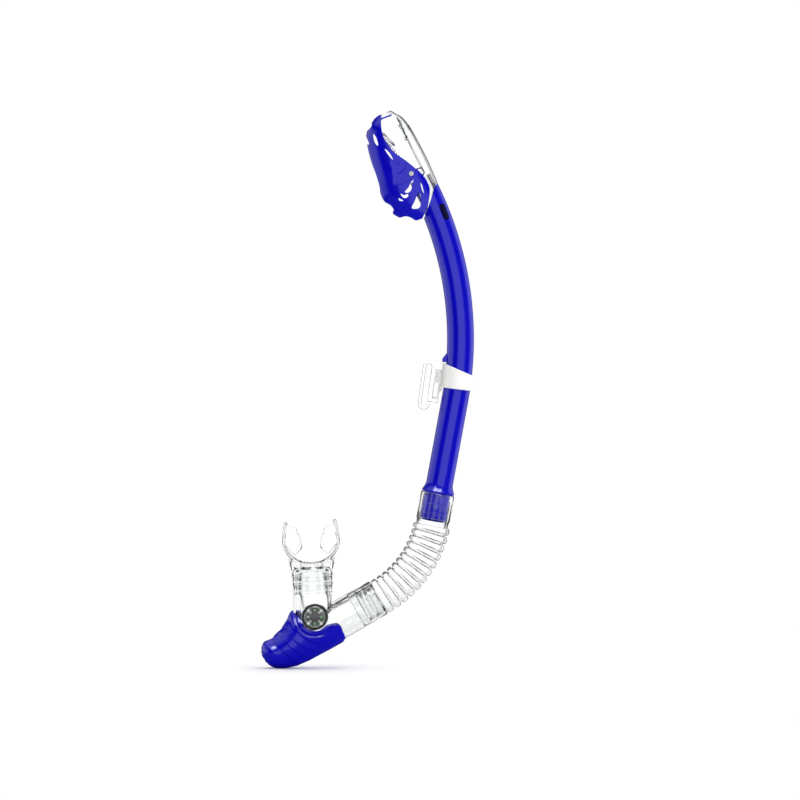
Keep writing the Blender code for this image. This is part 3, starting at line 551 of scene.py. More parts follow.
def latch_shade_abs():
    # Moulded ABS, gloss, nearly black navy: painted shade, its dark colour stands in for the shade in
    # the latch's window, and its specular level is lowered to keep it dark.
    latch_shade = moulded("latch_shade_gloss", linear("#0A0A30"), (0.14, 0.22), 1.54, mottle=0.08)
    latch_shade.node_tree.nodes["Principled BSDF"].inputs["Specular IOR Level"].default_value = 0.15
    return latch_shade


def milky_silicone():
    # Pressed silicone, milky: light goes in and comes out softened.
    return moulded("milky_silicone_pressed", linear("#E4E6E8"), (0.30, 0.42), 1.41,
                   mottle=0.02, transmission=0.5)


def white_polypropylene():
    # Welded polypropylene float: waxy white with a low sheen.
    return moulded("white_polypropylene_welded", linear("#EDEDEA"), (0.35, 0.48), 1.49,
                   mottle=0.02, subsurface=0.2)


def clear_acrylic():
    # Coated acrylic lens: its specular level is lowered, so that no grey veil hides the card.
    lens = moulded("clear_acrylic_coated", colours().clear, (0.0, 0.02), 1.49,
                   mottle=0.002, grain=4.0, relief=0.002, transmission=1.0)
    lens.node_tree.nodes["Principled BSDF"].inputs["Specular IOR Level"].default_value = 0.12
    return let_lamps_in(lens)


def printed_paint(name, colour):
    # Screen-printed paint: flat and matt, a little uneven where the ink is thin.
    return moulded(name, colour, (0.45, 0.6), 1.5, mottle=0.08, grain=0.3)


def turned_steel():
    # Turned stainless steel: fine rings from the lathe stretch its highlight.
    found = bpy.data.materials.get("stainless_steel_turned")
    if found:
        return found
    made = bpy.data.materials.new("stainless_steel_turned")
    made.use_nodes = True
    tree = made.node_tree
    shader = tree.nodes["Principled BSDF"]
    shader.inputs["Base Color"].default_value = (*linear("#C6C7C9"), 1.0)
    shader.inputs["Metallic"].default_value = 1.0
    place = add_node(tree, "ShaderNodeTexCoord").outputs["Object"]
    rings = add_node(tree, "ShaderNodeTexWave", {"Scale": per_metre(6), "Distortion": 0.6},
                     {"Vector": place}, wave_type="BANDS", bands_direction="Y")
    gloss = ranged(tree, rings.outputs["Fac"], (0.0, 1.0), (0.16, 0.3))
    tree.links.new(gloss, shader.inputs["Roughness"])
    return made


def colours():
    return bpy.context.scene.snorkel_colours


def sizes():
    return bpy.context.scene.snorkel_sizes


# ---------------------------------------------------------------- main tube


def tube_arc_point(degrees):
    """A place on the bent part of the tube's centre line; plus is towards the top."""
    centre = TUBE_CROWN - Vector((TUBE_BEND_RADIUS, 0))
    return centre + TUBE_BEND_RADIUS * direction(degrees)


def leg_point(distance):
    """A place on the straight leg, counted down from the end of the bend."""
    return tube_arc_point(-LEG_LEAN) + leg_down() * distance


def leg_down():
    return -direction(90 - LEG_LEAN)


def tube_path(distance):
    """Distances below zero run back up the bend from its lower end."""
    if distance >= 0:
        return leg_point(distance), direction(-LEG_LEAN)
    angle = -LEG_LEAN - math.degrees(distance / TUBE_BEND_RADIUS)
    return tube_arc_point(angle), direction(angle)


def tube_top_distance():
    return -math.radians(TUBE_TOP_ANGLE + LEG_LEAN) * TUBE_BEND_RADIUS


def barb(place, radius):
    """(distance, radius) pairs of one saw-tooth barb ring."""
    return [(place, radius), (place + 0.3 * MM, radius + BARB_HEIGHT * 0.8),
            (place + 0.5 * MM, radius + BARB_HEIGHT), (place + 3.0 * MM, radius)]


def mitre_block(name, offset, above):
    """The space on one side of the slanting joint between the tube and the dry top."""
    along = (MITRE_HIGH - MITRE_LOW).normalized()
    side = Vector((-along.y, along.x)) * (1 if above else -1)
    low = MITRE_LOW - along * 40 * MM + side * offset
    high = MITRE_HIGH + along * 60 * MM + side * offset
    reach = side * 60 * MM
    return prism(name, [low, high, high + reach, low + reach], -30 * MM, 30 * MM)


def latch_outline(radius):
    """Round-ended outline of the latch, lined up with the tube."""
    middle = tube_arc_point(LATCH_ANGLE) + direction(LATCH_ANGLE) * 6.2 * MM
    place = tilted(middle, -LATCH_ANGLE)
    ends = arc((0, 4.5 * MM), radius, 0, 180, 12) + arc((0, -4.5 * MM), radius, 180, 360, 12)
    return [place(p.x, p.y) for p in ends]


def tube_profile():
    """Outside of the tube from its top to the end of its spigot, then back up the bore."""
    top = tube_top_distance()
    bend = 64
    outer = [(top * (1 - i / bend), TUBE_RADIUS) for i in range(bend + 1)]
    for i in range(13):
        share = i / 12
        width = TUBE_RADIUS + 2.3 * MM * share**1.6
        outer.append((FLARE_START + (FLARE_END - 1.4 * MM - FLARE_START) * share, width))
    lip = FLARE_END - 0.5 * MM
    outer += [(lip - 0.5 * MM, TUBE_RADIUS + 2.4 * MM), (lip, TUBE_RADIUS + 2.2 * MM),
              (FLARE_END, TUBE_RADIUS + 1.6 * MM), (FLARE_END, SPIGOT_RADIUS)]
    for place in (84.0 * MM, 90.5 * MM):
        outer += barb(place, SPIGOT_RADIUS)
    outer += [(SPIGOT_END - 0.4 * MM, SPIGOT_RADIUS), (SPIGOT_END, SPIGOT_RADIUS - 0.4 * MM)]
    inner = [(SPIGOT_END, TUBE_BORE_RADIUS), (0.0, TUBE_BORE_RADIUS)]
    inner += [(top * i / bend, TUBE_BORE_RADIUS) for i in range(1, bend + 1)]
    return outer + inner


def stop_lug():
    """Small lug that stops the keeper sliding up the tube."""
    outline = in_millimetres([(18.0, 27.6), (15.6, 24.8), (12.9, 21.4), (12.5, 20.2), (12.6, 18.4),
                              (18.0, 18.4)])
    lug = prism("stop_lug", outline, -3.0 * MM, 3.0 * MM)
    round_edges(lug, 0.5 * MM)
    return lug


def build_tube():
    tube = swept("tube_shell", tube_path, tube_profile(), steps=96)
    shape(tube, mitre_block("tube_top", 0.0, above=True))
    shape(tube, prism("latch_window", latch_outline(2.4 * MM), -14 * MM, -3 * MM))
    shape(tube, stop_lug(), "UNION")
    fit_piece(tube, "tube", blue_abs(), "blue_plastic", "main_tube")
    # painted shade: the latch gets a nearly black colour for the shade in its window
    finish_node("neck_latch", latch_shade_abs())


# ---------------------------------------------------------------- dry top

# half widths of the head on either side of its leaning axis, and its half depth, all along the axis
HEAD_LEFT = [(-22, -12), (-16, -17), (-11, -22), (-6, -28), (0, -31.5), (10, -34.4), (30, -33.6),
             (46, -32), (57, -30.2), (66, -26.4), (71.5, -21.5), (75, -12)]
HEAD_RIGHT = [(-22, 13.8), (-16, 13.6), (10, 12.7), (28, 11.9), (37, 11), (53.5, 8.9), (63, 6.8),
              (70, 3.6), (75, -3)]
HEAD_DEPTH = [(-22, 10.6), (-16, 11.6), (0, 13.6), (10, 15.4), (24, 16.8), (44, 17.0), (58, 16.0),
              (66, 13.6), (71.5, 10.0), (75, 5.5)]
HEAD_TOP = 75.0
HEAD_FOOT = -22.0

# side view of the guard: down its notched outer edge, along its wavy foot, then back up the joint
GUARD_OUTER_EDGE = [(-37.0, 216.6), (-43.6, 211.0), (-44.0, 206.8), (-48.6, 201.0), (-45.9, 192.8),
                    (-47.4, 192.2), (-46.3, 186.2), (-43.8, 177.4), (-40.1, 167.3), (-37.6, 158.6),
                    (-36.8, 152.7), (-33.6, 146.6), (-29.2, 144.0), (-26.4, 140.4),
                    (-26.9, 137.1), (-22.3, 133.8), (-16.8, 134.9), (-12.5, 133.8),
                    (-8.5, 131.6), (-3.4, 133.1)]
GUARD_JOINT = [(-1.4, 137.4), (1.8, 148.0), (2.6, 156.4), (0.8, 162.2), (-2.3, 166.9),
               (-9.6, 173.8), (-16.8, 179.6), (-22.6, 183.6), (-27.0, 187.3), (-31.4, 192.7),
               (-34.6, 198.6), (-36.1, 205.8), (-36.4, 211.4), (-36.2, 216.0)]

SLOT_ALMOND = [(-42.6, 200.6), (-40.7, 198.8), (-39.2, 194.8), (-38.7, 191.4), (-40.4, 192.4),
               (-42.0, 196.0)]
SLOT_SLENDER = [(-33.4, 188.8), (-31.0, 187.2), (-28.4, 183.8), (-26.8, 180.2), (-28.8, 181.8),
                (-31.6, 185.4)]
SLOT_CRESCENT = [(-10.6, 164.2), (-11.4, 160.2), (-12.6, 155.4), (-15.6, 153.6), (-17.2, 154.8),
                 (-14.6, 157.8), (-12.6, 161.6)]
SLOT_DRAIN = [(-20.6, 153.0), (-17.8, 151.9), (-15.0, 152.8), (-14.8, 150.6), (-17.4, 149.4),
              (-19.6, 150.8)]
SLOT_DRIP = [(-22.2, 149.4), (-20.0, 148.4), (-18.6, 147.2), (-21.6, 147.4)]
SLOT_CORNER = [(-6.6, 154.2), (-4.8, 151.3), (-4.5, 144.7), (-6.6, 141.3), (-11.8, 141.5),
               (-9.4, 147.0)]
SLOT_STRIP = [(-5.0, 161.6), (-3.6, 159.6), (-2.4, 154.6), (-2.4, 152.6), (-4.0, 155.6)]
ARC_CENTRE = Vector((-24.6 * MM, 177.6 * MM))
ARC_STEPS = ((8.4, 9.0), (17.2, 17.8))
DIMPLE_EDGE = (0.6, 4.8)
DIMPLE_DEPTH = 0.5 * MM


def head_rings(inset, stations, around=128):
    """Rings of the head's smooth body along its axis, taken in all round by inset."""
    place = tilted(HEAD_ORIGIN, -HEAD_LEAN)
    rings = []
    for i in range(stations + 1):
        station = HEAD_FOOT + (HEAD_TOP - HEAD_FOOT) * i / stations
        left = eased(HEAD_LEFT, station) * MM + inset
        right = eased(HEAD_RIGHT, station) * MM - inset
        depth = eased(HEAD_DEPTH, station) * MM - inset
        height = station * MM
        if inset:
            height = min(height, HEAD_TOP * MM - inset)
            height -= 4 * MM if i == 0 else 0
        middle = place((left + right) / 2, height)
        half = max((right - left) / 2, 1.0 * MM)
        rings.append(oval(middle, direction(HEAD_LEAN), half, depth, steps=around, power=2.06))
    return rings


def head_shell(name, region, wall, stations=72, around=128, relief=None):
    """The head's thin wall, with any relief, kept only inside a side-view region."""
    shell = skin(name, head_rings(0.0, stations, around))
    if relief:
        emboss(shell, relief)
    inner = head_rings(wall, 48)
    shape(shell, skin(name + "_hollow", inner[:-3] + inner[-1:]))
    shape(shell, prism(name + "_region", region, -30 * MM, 30 * MM), "INTERSECT")
    shape(shell, mitre_block(name + "_mitre", -0.3 * MM, above=False))
    return shell


def guard_relief(point):
    """Two stepped arcs fan out from a dimple on each side of the guard."""
    reach = Vector((point.x, point.z)) - ARC_CENTRE
    distance = reach.length / MM
    lower_right = smooth_step(reach.x / MM, -3.0, 1.0)
    step = sizes().guard_step
    arcs = sum(smooth_step(distance, near, far) for near, far in ARC_STEPS)
    dimple = 1 - smooth_step(distance, *DIMPLE_EDGE)
    return -step * lower_right * (len(ARC_STEPS) - arcs) - DIMPLE_DEPTH * dimple


def neck_room(name):
    """The round space that the neck spigot stands in."""
    profile = [(tube_top_distance() + 55 * MM - i * 15 * MM, TUBE_BORE_RADIUS) for i in range(6)]
    return swept(name, tube_path, profile, loop=False)


def build_guard():
    region = curve_through(in_millimetres(GUARD_OUTER_EDGE), 4)
    region += curve_through(in_millimetres(GUARD_JOINT), 4)
    guard = head_shell("guard_shell", region, HEAD_WALL, stations=150, around=256,
                       relief=guard_relief)
    slots = (SLOT_ALMOND, SLOT_SLENDER, SLOT_CRESCENT, SLOT_DRAIN, SLOT_DRIP, SLOT_CORNER,
             SLOT_STRIP)
    for number, outline in enumerate(slots):
        opening = curve_through(in_millimetres(outline), 5, closed=True)
        shape(guard, prism(f"guard_slot_{number}", opening, -30 * MM, 30 * MM))
    shape(guard, turned("guard_pin_hole", FLOAT_PIVOT, [(-25 * MM, 1.5 * MM), (25 * MM, 1.5 * MM)]))
    shape(guard, neck_room("guard_neck_room"))
    shape(guard, curved_rib("top_strip", [(-38.4, 211.6), (-34.0, 213.4), (-28.0, 215.6)], 1.6 * MM,
                            4.0 * MM), "UNION")
    fit_piece(guard, "tube", blue_abs(), "blue_plastic", "dry_top_guard")


def dome_region():
    """Side view of the dome: everything beyond the joint with the guard."""
    joint = [p + Vector((0.35, 0.25)) * MM for p in curve_through(in_millimetres(GUARD_JOINT), 4)]
    far = in_millimetres([(-36.0, 226.0), (40.0, 226.0), (40.0, 110.0), (-1.0, 110.0)])
    return joint + far


def curved_rib(name, points, thickness, half_depth):
    """A thin moulded rib that follows a curve in side view."""
    middle = curve_through(in_millimetres(points), 6)
    left, right = [], []
    for i, point in enumerate(middle):
        ahead = middle[min(i + 1, len(middle) - 1)] - middle[max(i - 1, 0)]
        side = Vector((-ahead.y, ahead.x)).normalized() * thickness / 2
        left.append(point + side)
        right.append(point - side)
    return prism(name, left + right[::-1], -half_depth, half_depth)


def build_dome():
    """Clear dome, with the ribs, hinge boss and pad that are moulded inside it."""
    dome = head_shell("dome_shell", dome_region(), DOME_WALL)
    shape(dome, neck_room("dome_neck_room"))
    fit_piece(dome, "tube", clear_dome_plastic(), "clear_plastic", "dry_top_dome")
    ribs = [
        curved_rib("rib_arch", [(-25.4, 214.6), (-22.2, 212.8), (-19.6, 209.0), (-18.2, 203.0)],
                   1.1 * MM, 5.0 * MM),
        curved_rib("rib_pad", [(-15.6, 207.6), (-13.6, 204.4), (-12.4, 203.4)], 1.3 * MM, 4.0 * MM),
    ]
    for rib in ribs:
        round_edges(rib, 0.3 * MM, segments=2)
    boss = turned("hinge_boss", Vector((-5.6 * MM, 170.0 * MM)),
                  [(-8 * MM, 2.6 * MM), (-7.4 * MM, 3.6 * MM), (-6.4 * MM, 4.0 * MM),
                   (6.4 * MM, 4.0 * MM), (7.4 * MM, 3.6 * MM), (8 * MM, 2.6 * MM)], steps=48)
    inside = joined("dome_ribs", ribs + [boss])
    fit_piece(inside, "tube", clear_dome_plastic(), "clear_plastic")


def build_neck():
    """Clear spigot that plugs into the tube, with the thin collar that shows at the joint."""
    top = tube_top_distance()
    outer = TUBE_BORE_RADIUS - 0.3 * MM
    inner = outer - 1.6 * MM
    low, high = top + 61 * MM, top - 4 * MM
    steps = 20
    places = [low + (high - low) * i / steps for i in range(steps + 1)]
    profile = [(place, outer) for place in places] + [(place, inner) for place in places[::-1]]
    spigot = swept("neck_tube", tube_path, profile)
    fit_piece(spigot, "tube", clear_dome_plastic(), "clear_plastic", "neck_spigot")


def seal_path():
    """Path through the seal disc, along the way that it faces at rest."""
    normal = direction(SEAL_FACING)
    return straight_path(FLOAT_PIVOT + SEAL_REACH * direction(SEAL_ANGLE), normal)


def build_seal():
    """Soft disc with a rounded rim and two raised sealing rings."""
    half = 1.0 * MM
    rim = [(half * math.sin(math.radians(a)), 6.7 * MM + 0.8 * MM * math.cos(math.radians(a)))
           for a in range(-90, 91, 15)]
    face = [(half, 6.2 * MM), (half + 0.25 * MM, 5.9 * MM), (half, 5.6 * MM), (half, 4.4 * MM),
            (half + 0.25 * MM, 4.1 * MM), (half, 3.8 * MM), (half, 1.0 * MM)]
    seal = swept("seal_cushion", seal_path(), [(-half, 1.0 * MM)] + rim + face, steps=64,
                 loop=False)
    fit_piece(seal, "float_arm", clear_silicone(), "seal_silicone", "seal_disc")


# ---------------------------------------------------------------- keeper and clip


def keeper_ring(radius, height):
    """A ring of the keeper; height(across) lets its edges slant."""
    place = tilted(KEEPER_CENTRE, KEEPER_LEAN)
    ring = []
    steps = 96
    for i in range(steps):
        angle = 2 * math.pi * i / steps
        across = radius * math.cos(angle)
        flat = place(across, height(across))
        ring.append((flat.x, radius * math.sin(angle), flat.y))
    return ring


def build_keeper():
    bore, outer = 11.3 * MM, 13.1 * MM
    round_radius = 0.7 * MM

    def top(drop):
        return lambda across: 8.3 * MM - 0.30 * across - drop

    def bottom(lift):
        return lambda across: -7.2 * MM + lift

    rings = [keeper_ring(bore, bottom(0.0))]
    corner = [(math.sin(math.radians(a)), math.cos(math.radians(a))) for a in range(0, 91, 15)]
    rings += [keeper_ring(outer - round_radius * (1 - s), bottom(round_radius * (1 - c)))
              for s, c in corner]
    rings += [keeper_ring(outer - round_radius * (1 - s), top(round_radius * (1 - c)))
              for s, c in corner[::-1]]
    rings.append(keeper_ring(bore, top(0.0)))
    band = skin("keeper_loop", rings, loop=True)
    clip = tilted((0, 0), CLIP_LEAN)
    tongue = [(5.2, 14), (12.7, 14), (12.7, -3), (10.4, -4.5), (10.4, -10.4), (5.2, -10.4)]
    blade = prism("keeper_blade", [clip(a * MM, b * MM) for a, b in tongue], -1.0 * MM, 1.0 * MM)
    window = arc((7.8 * MM, 1.6 * MM), 1.3 * MM, 0, 180, 10)
    window += arc((7.8 * MM, -7.2 * MM), 1.3 * MM, 180, 360, 10)
    shape(blade, prism("blade_window", [clip(p.x, p.y) for p in window], -3 * MM, 3 * MM))
    shape(band, blade, "UNION")
    fit_piece(band, "keeper", white_abs(), "white_plastic", "keeper_band")


def build_clip():
    """Clear clip: a hook-shaped strap slot beside a sleeve, with a latch in the sleeve's face."""
    clip = tilted((0, 0), CLIP_LEAN)
    half, outer = 2.3 * MM, 4.7 * MM
    top, foot = 14.8 * MM, -15.0 * MM
    side = 11.0 * MM
    outline = arc((0, top), outer, 90, 180, 12) + arc((0, foot), outer, 180, 368, 24)
    outline += arc((0, foot), half, 368, 180, 20) + arc((0, top), half, 180, 0, 16)
    outline += [Vector((half, -12.8 * MM)), Vector((side, -12.8 * MM))]
    outline += arc((side - 1.5 * MM, top + outer - 1.5 * MM), 1.5 * MM, 0, 90, 6)
    piece = prism("clip_moulding", [clip(p.x, p.y) for p in outline], -2.6 * MM, 2.6 * MM)
    round_edges(piece, 0.65 * MM, segments=1)
    pocket = [(4.9, -10.8), (11.6, -10.8), (11.6, 20.5), (4.9, 20.5)]
    shape(piece, prism("clip_pocket", [clip(a * MM, b * MM) for a, b in pocket],
                       -1.3 * MM, 1.3 * MM))
    groove = arc((7.8 * MM, -8.0 * MM), 2.4 * MM, 180, 360, 16)
    groove += [Vector((10.2 * MM, 3.0 * MM)), Vector((9.5 * MM, 3.0 * MM))]
    groove += arc((7.8 * MM, -8.0 * MM), 1.7 * MM, 360, 180, 16)
    groove += [Vector((6.1 * MM, 3.0 * MM)), Vector((5.4 * MM, 3.0 * MM))]
    shape(piece, prism("latch_groove", [clip(p.x, p.y) for p in groove], -4 * MM, -1.0 * MM))
    fit_piece(piece, "clip", clear_polycarbonate(), "clear_plastic", "strap_clip")


# ---------------------------------------------------------------- hose


def branch_along():
    """Unit vector up the branch, from the housing towards the hose."""
    return direction(BRANCH_ANGLE)


def branch_point(distance):
    return BRANCH_END + branch_along() * distance


def hose_turn():
    """How far the hose bends, in radians."""
    return math.radians(90 - BRANCH_ANGLE - LEG_LEAN)


def hose_start():
    """Where the hose leaves the line of the tube, so that its bend ends on the branch axis."""
    tangent = HOSE_BEND_RADIUS * math.tan(hose_turn() / 2)
    meet = branch_point(BRANCH_HOSE_LENGTH) + branch_along() * tangent
    return meet - leg_down() * tangent


def hose_path(distance):
    """Middle line of the hose, with zero where its bend begins."""
    bend = hose_turn() * HOSE_BEND_RADIUS
    if distance <= 0:
        return hose_start() + leg_down() * distance, direction(-LEG_LEAN)
    if distance >= bend:
        end = branch_point(BRANCH_HOSE_LENGTH) - branch_along() * (distance - bend)
        return end, direction(BRANCH_ANGLE - 90)
    angle = -LEG_LEAN - math.degrees(distance / HOSE_BEND_RADIUS)
    down = leg_down()
    centre = hose_start() + Vector((down.y, -down.x)) * HOSE_BEND_RADIUS
    return centre + HOSE_BEND_RADIUS * direction(angle), direction(angle)


def hose_ribs(pitch, base, height, fullness):
    """(distance, radius) pairs over all the ribs, each a round bead between narrow valleys."""
    pairs = []
    for i in range(sizes().rib_count):
        middle = pitch * (i + 0.75)
        for k in range(11):
            angle = math.pi * k / 10
            along = -math.cos(angle) * pitch * fullness
            pairs.append((middle + along, base + height * math.sin(angle) ** 0.8))
    return pairs


def build_hose():
    """Soft hose with a cuff at each end and round ribs between them, one wall thickness all through."""
    bend = hose_turn() * HOSE_BEND_RADIUS
    pitch = bend / sizes().rib_count
    top = (leg_point(FLARE_END + 0.3 * MM) - hose_start()).dot(leg_down())
    low = bend + BRANCH_HOSE_LENGTH
    spigot_top = (leg_point(SPIGOT_END + 0.3 * MM) - hose_start()).dot(leg_down())
    upper, lower = HOSE_UPPER_CUFF_RADIUS, HOSE_LOWER_CUFF_RADIUS
    outer = [(top, upper - 0.6 * MM), (top + 0.2 * MM, upper - 0.2 * MM), (top + 0.7 * MM, upper),
             (spigot_top + 0.6 * MM, upper), (spigot_top + 1.2 * MM, upper - 0.4 * MM)]
    outer += hose_ribs(pitch, HOSE_VALLEY_RADIUS, sizes().rib_height, 0.40)
    outer += [(bend + 1.2 * MM, HOSE_VALLEY_RADIUS + 0.3 * MM), (bend + 2.0 * MM, lower - 0.3 * MM),
              (bend + 3.0 * MM, lower), (low - 0.7 * MM, lower), (low - 0.2 * MM, lower - 0.2 * MM),
              (low, lower - 0.6 * MM)]
    low_room = BRANCH_SPIGOT_RADIUS + BARB_HEIGHT + 0.3 * MM
    inner = [(low, low_room), (low - BRANCH_SPIGOT_LENGTH - 0.6 * MM, low_room),
             (low - BRANCH_SPIGOT_LENGTH - 1.2 * MM, HOSE_BORE_RADIUS)]
    inner += hose_ribs(pitch, HOSE_BORE_RADIUS, sizes().rib_height * 0.85, 0.34)[::-1]
    top_room = SPIGOT_RADIUS + BARB_HEIGHT + 0.3 * MM
    inner += [(spigot_top + 0.3 * MM, top_room), (top, top_room)]
    hose = swept("ribbed_hose", hose_path, outer + inner, steps=96, sharp=50)
    hose.data.materials.append(clear_silicone())
    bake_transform(hose)
    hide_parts("corrugated_hose")


# ---------------------------------------------------------------- housing and purge cover

# distance along the branch, height of the middle above its axis, half height and half depth, in mm
NOSE = [(-83.2, 3.9, 3.4, 4.6), (-82.0, 3.0, 4.9, 6.6), (-80.4, 3.0, 7.6, 9.2),
        (-77, 2.9, 10.4, 11.4), (-73, 1.9, 11.6, 12.4), (-69, 1.0, 12.4, 13.0),
        (-63, 0.8, 14.1, 14.2)]
CHAMBER = [(-60, 1.0, 14.6, 14.6), (-52, 2.5, 17.1, 15.0), (-44, 4.6, 19.4, 15.2),
           (-32, 0.6, 15.8, 15.3)]
BARREL_RADIUS = 15.3
RIDGE_CENTRE = Vector((-80.0 * MM, -176.0 * MM))
RIDGE_RADII = (31.0, 37.5, 43.8, 50.2, 56.5)
LIP_EDGE = (14.2, 15.2)
LIP_HEIGHT = 0.7 * MM
GROOVE_INNER_EDGE = (14.2, 15.0)
GROOVE_OUTER_EDGE = (15.8, 17.0)
GROOVE_DEPTH = 1.0 * MM

# side view of the cover's stepped upper edge, from its peak down to the nose
COVER_STEPS = [(-106.8, -180.6), (-108.4, -181.0), (-110.6, -184.5), (-112.6, -188.3),
               (-116.0, -192.2), (-115.8, -194.8), (-119.0, -197.0), (-122.6, -199.2),
               (-122.4, -201.8), (-126.0, -203.8), (-130.4, -205.4), (-133.6, -206.4)]
COVER_TAIL = [(-64.7, -202.2), (-65.6, -199.2), (-67.4, -195.6), (-69.8, -192.7), (-72.4, -191.2),
              (-75.6, -191.4)]


def barrel(*places):
    """Stations of the round barrel at these distances along the branch, in mm."""
    return [(place, 0.0, BARREL_RADIUS, BARREL_RADIUS) for place in places]


def chamber(name, grow, stations, steps=4, around=128):
    """A loft along the branch through the given stations, grown all round."""
    across = Vector((-branch_along().y, branch_along().x))
    rings = []
    for along, middle, half_height, half_depth in curve_through(stations, steps):
        centre = branch_point(along * MM) + across * middle * MM
        rings.append(oval(centre, across, half_height * MM + grow, half_depth * MM + grow, around))
    return skin(name, rings)


def stem(name, grow, foot, top):
    """The oval stem under the mouthpiece."""
    rings = []
    for z in (foot, top):
        rings.append(oval(Vector((STEM_CENTRE_X, z)), Vector((1, 0)), 15.5 * MM + grow,
                          12.2 * MM + grow, steps=96, power=2.3))
    return skin(name, rings)


def build_housing():
    """Clear housing: barrel, chamber, stem and both spigots in one moulding."""
    housing = chamber("housing_shell", 0.0, CHAMBER + barrel(-22, -12, -0.3))
    shape(housing, stem("housing_stem", 0.0, STEM_FOOT_Z, STEM_SHOULDER_Z), "UNION")
    spigot = [(-2 * MM, BRANCH_SPIGOT_RADIUS)]
    for place in (6.0 * MM, 12.0 * MM):
        spigot += barb(place, BRANCH_SPIGOT_RADIUS)
    spigot += [(BRANCH_SPIGOT_LENGTH, BRANCH_SPIGOT_RADIUS)]
    shape(housing, swept("housing_spigot", straight_path(BRANCH_END, branch_along()), spigot,
                         loop=False), "UNION")
    shape(housing, stem_oval("stem_spigot", 13.6, 9.8, -4.0, 17.4), "UNION")
    boss = COMPASS_RADIUS + 0.4 * MM
    shape(housing, turned("compass_boss", COMPASS_CENTRE, [(-15.7 * MM, boss), (-8 * MM, boss)]),
          "UNION")
    bore = [(-48.7 * MM, 11.2 * MM), (30 * MM, 11.2 * MM)]
    shape(housing, swept("housing_bore", straight_path(BRANCH_END, branch_along()), bore,
                         loop=False))
    shape(housing, chamber("housing_hollow", -HOUSING_WALL, [(-64, 1.0, 14.6, 14.6)] + CHAMBER[:-1]))
    shape(housing, stem_oval("stem_bore", 11.8, 8.0, -18.6, 25.4))
    fit_piece(housing, "housing", clear_polycarbonate(), "clear_plastic", "mouthpiece_housing")
    finish_node("purge_seat", clear_polycarbonate())


def stem_oval(name, half_width, half_depth, foot, top):
    """An oval solid that leans with the mouthpiece."""
    place = tilted(MOUTH_BASE, -MOUTH_LEAN)
    rings = [oval(place(0, height * MM), direction(MOUTH_LEAN), half_width * MM, half_depth * MM,
                  steps=96, power=2.3) for height in (foot, top)]
    return skin(name, rings)


def cover_relief(point):
    """A raised lip and a groove round the compass, and ridges that sweep down the cover's sides."""
    flat = Vector((point.x, point.z))
    from_compass = (flat - COMPASS_CENTRE).length / MM
    lip = LIP_HEIGHT * (1 - smooth_step(from_compass, *LIP_EDGE))
    groove = smooth_step(from_compass, *GROOVE_INNER_EDGE)
    groove *= 1 - smooth_step(from_compass, *GROOVE_OUTER_EDGE)
    from_ridges = (flat - RIDGE_CENTRE).length / MM
    side = smooth_step(abs(point.y) / MM, 3.0, 8.0)
    fade = 1 - smooth_step((flat - RIDGE_CENTRE).x / MM, -8.0, 6.0)
    saw = 0.0
    for low, high in zip(RIDGE_RADII, RIDGE_RADII[1:]):
        if low < from_ridges <= high:
            saw = smooth_step(from_ridges, low, low + 0.7) * (high - from_ridges) / (high - low)
    return lip - GROOVE_DEPTH * groove - sizes().ridge_height * saw * side * fade * 1.4


def cover_region():
    """Side view of the cover: it cups the compass above and runs past the barrel's underside."""
    pocket = arc(COMPASS_CENTRE, 11.4 * MM, 208, 318, 24)
    tail = curve_through(in_millimetres(COVER_TAIL), 4)
    steps = curve_through(in_millimetres(COVER_STEPS), 4)
    low = in_millimetres([(-140.0, -208.0), (-140.0, -240.0), (-85.0, -240.0)])
    return pocket + tail[::-1] + low[::-1] + steps[::-1]


def build_cover():
    """Blue shell clipped over the housing, open at the compass and slotted at its nose."""
    grow = COVER_GAP + COVER_WALL
    stations = NOSE + CHAMBER + barrel(-22, -8.0)
    cover = chamber("cover_shell", grow, stations, steps=20, around=256)
    emboss(cover, cover_relief)
    shape(cover, stem("cover_stem", grow, STEM_FOOT_Z, STEM_SHOULDER_Z), "UNION")
    shape(cover, prism("cover_region", cover_region(), -30 * MM, 30 * MM), "INTERSECT")
    inner = NOSE[1:] + CHAMBER + barrel(-22, -4.0)
    shape(cover, chamber("cover_hollow", COVER_GAP, inner))
    shape(cover, stem("cover_stem_hollow", COVER_GAP, STEM_FOOT_Z + 1 * MM,
                      STEM_SHOULDER_Z + 10 * MM))
    across = Vector((-branch_along().y, branch_along().x))
    for number, height in enumerate((-0.9, 3.1, 7.1)):
        middle = branch_point(-84 * MM) + across * height * MM
        place = tilted(middle, 90 - BRANCH_ANGLE)
        half = (6.5 if number == 1 else 5.0) * MM
        outline = [place(-1.2 * MM, -6 * MM), place(1.2 * MM, -6 * MM),
                   place(1.2 * MM, 6 * MM), place(-1.2 * MM, 6 * MM)]
        shape(cover, prism(f"cover_outlet_{number}", outline, -half, half))
    fit_piece(cover, "housing", blue_abs(), "blue_plastic", "purge_cover")


def build_diaphragm():
    """Soft mushroom valve: a thin dished disc with a rolled rim, and a stem with a bead."""
    face = -62.6 * MM
    across = Vector((-branch_along().y, branch_along().x))
    start = BRANCH_END + across * 1.2 * MM
    profile = [(face - 1.6 * MM, 1.0 * MM), (face - 1.5 * MM, 4.0 * MM), (face - 1.3 * MM, 7.0 * MM),
               (face - 0.9 * MM, 9.6 * MM), (face - 0.8 * MM, 10.6 * MM), (face - 0.6 * MM, 11.1 * MM),
               (face - 0.2 * MM, 11.2 * MM), (face, 10.9 * MM), (face, 1.6 * MM),
               (face + 0.4 * MM, 1.15 * MM), (face + 5.2 * MM, 1.15 * MM), (face + 5.6 * MM, 2.1 * MM),
               (face + 6.4 * MM, 1.9 * MM), (face + 7.2 * MM, 1.0 * MM)]
    valve = swept("valve_mushroom", straight_path(start, branch_along()), profile, steps=56,
                  loop=False)
    fit_piece(valve, "diaphragm", milky_silicone(), "seal_silicone", "purge_diaphragm")


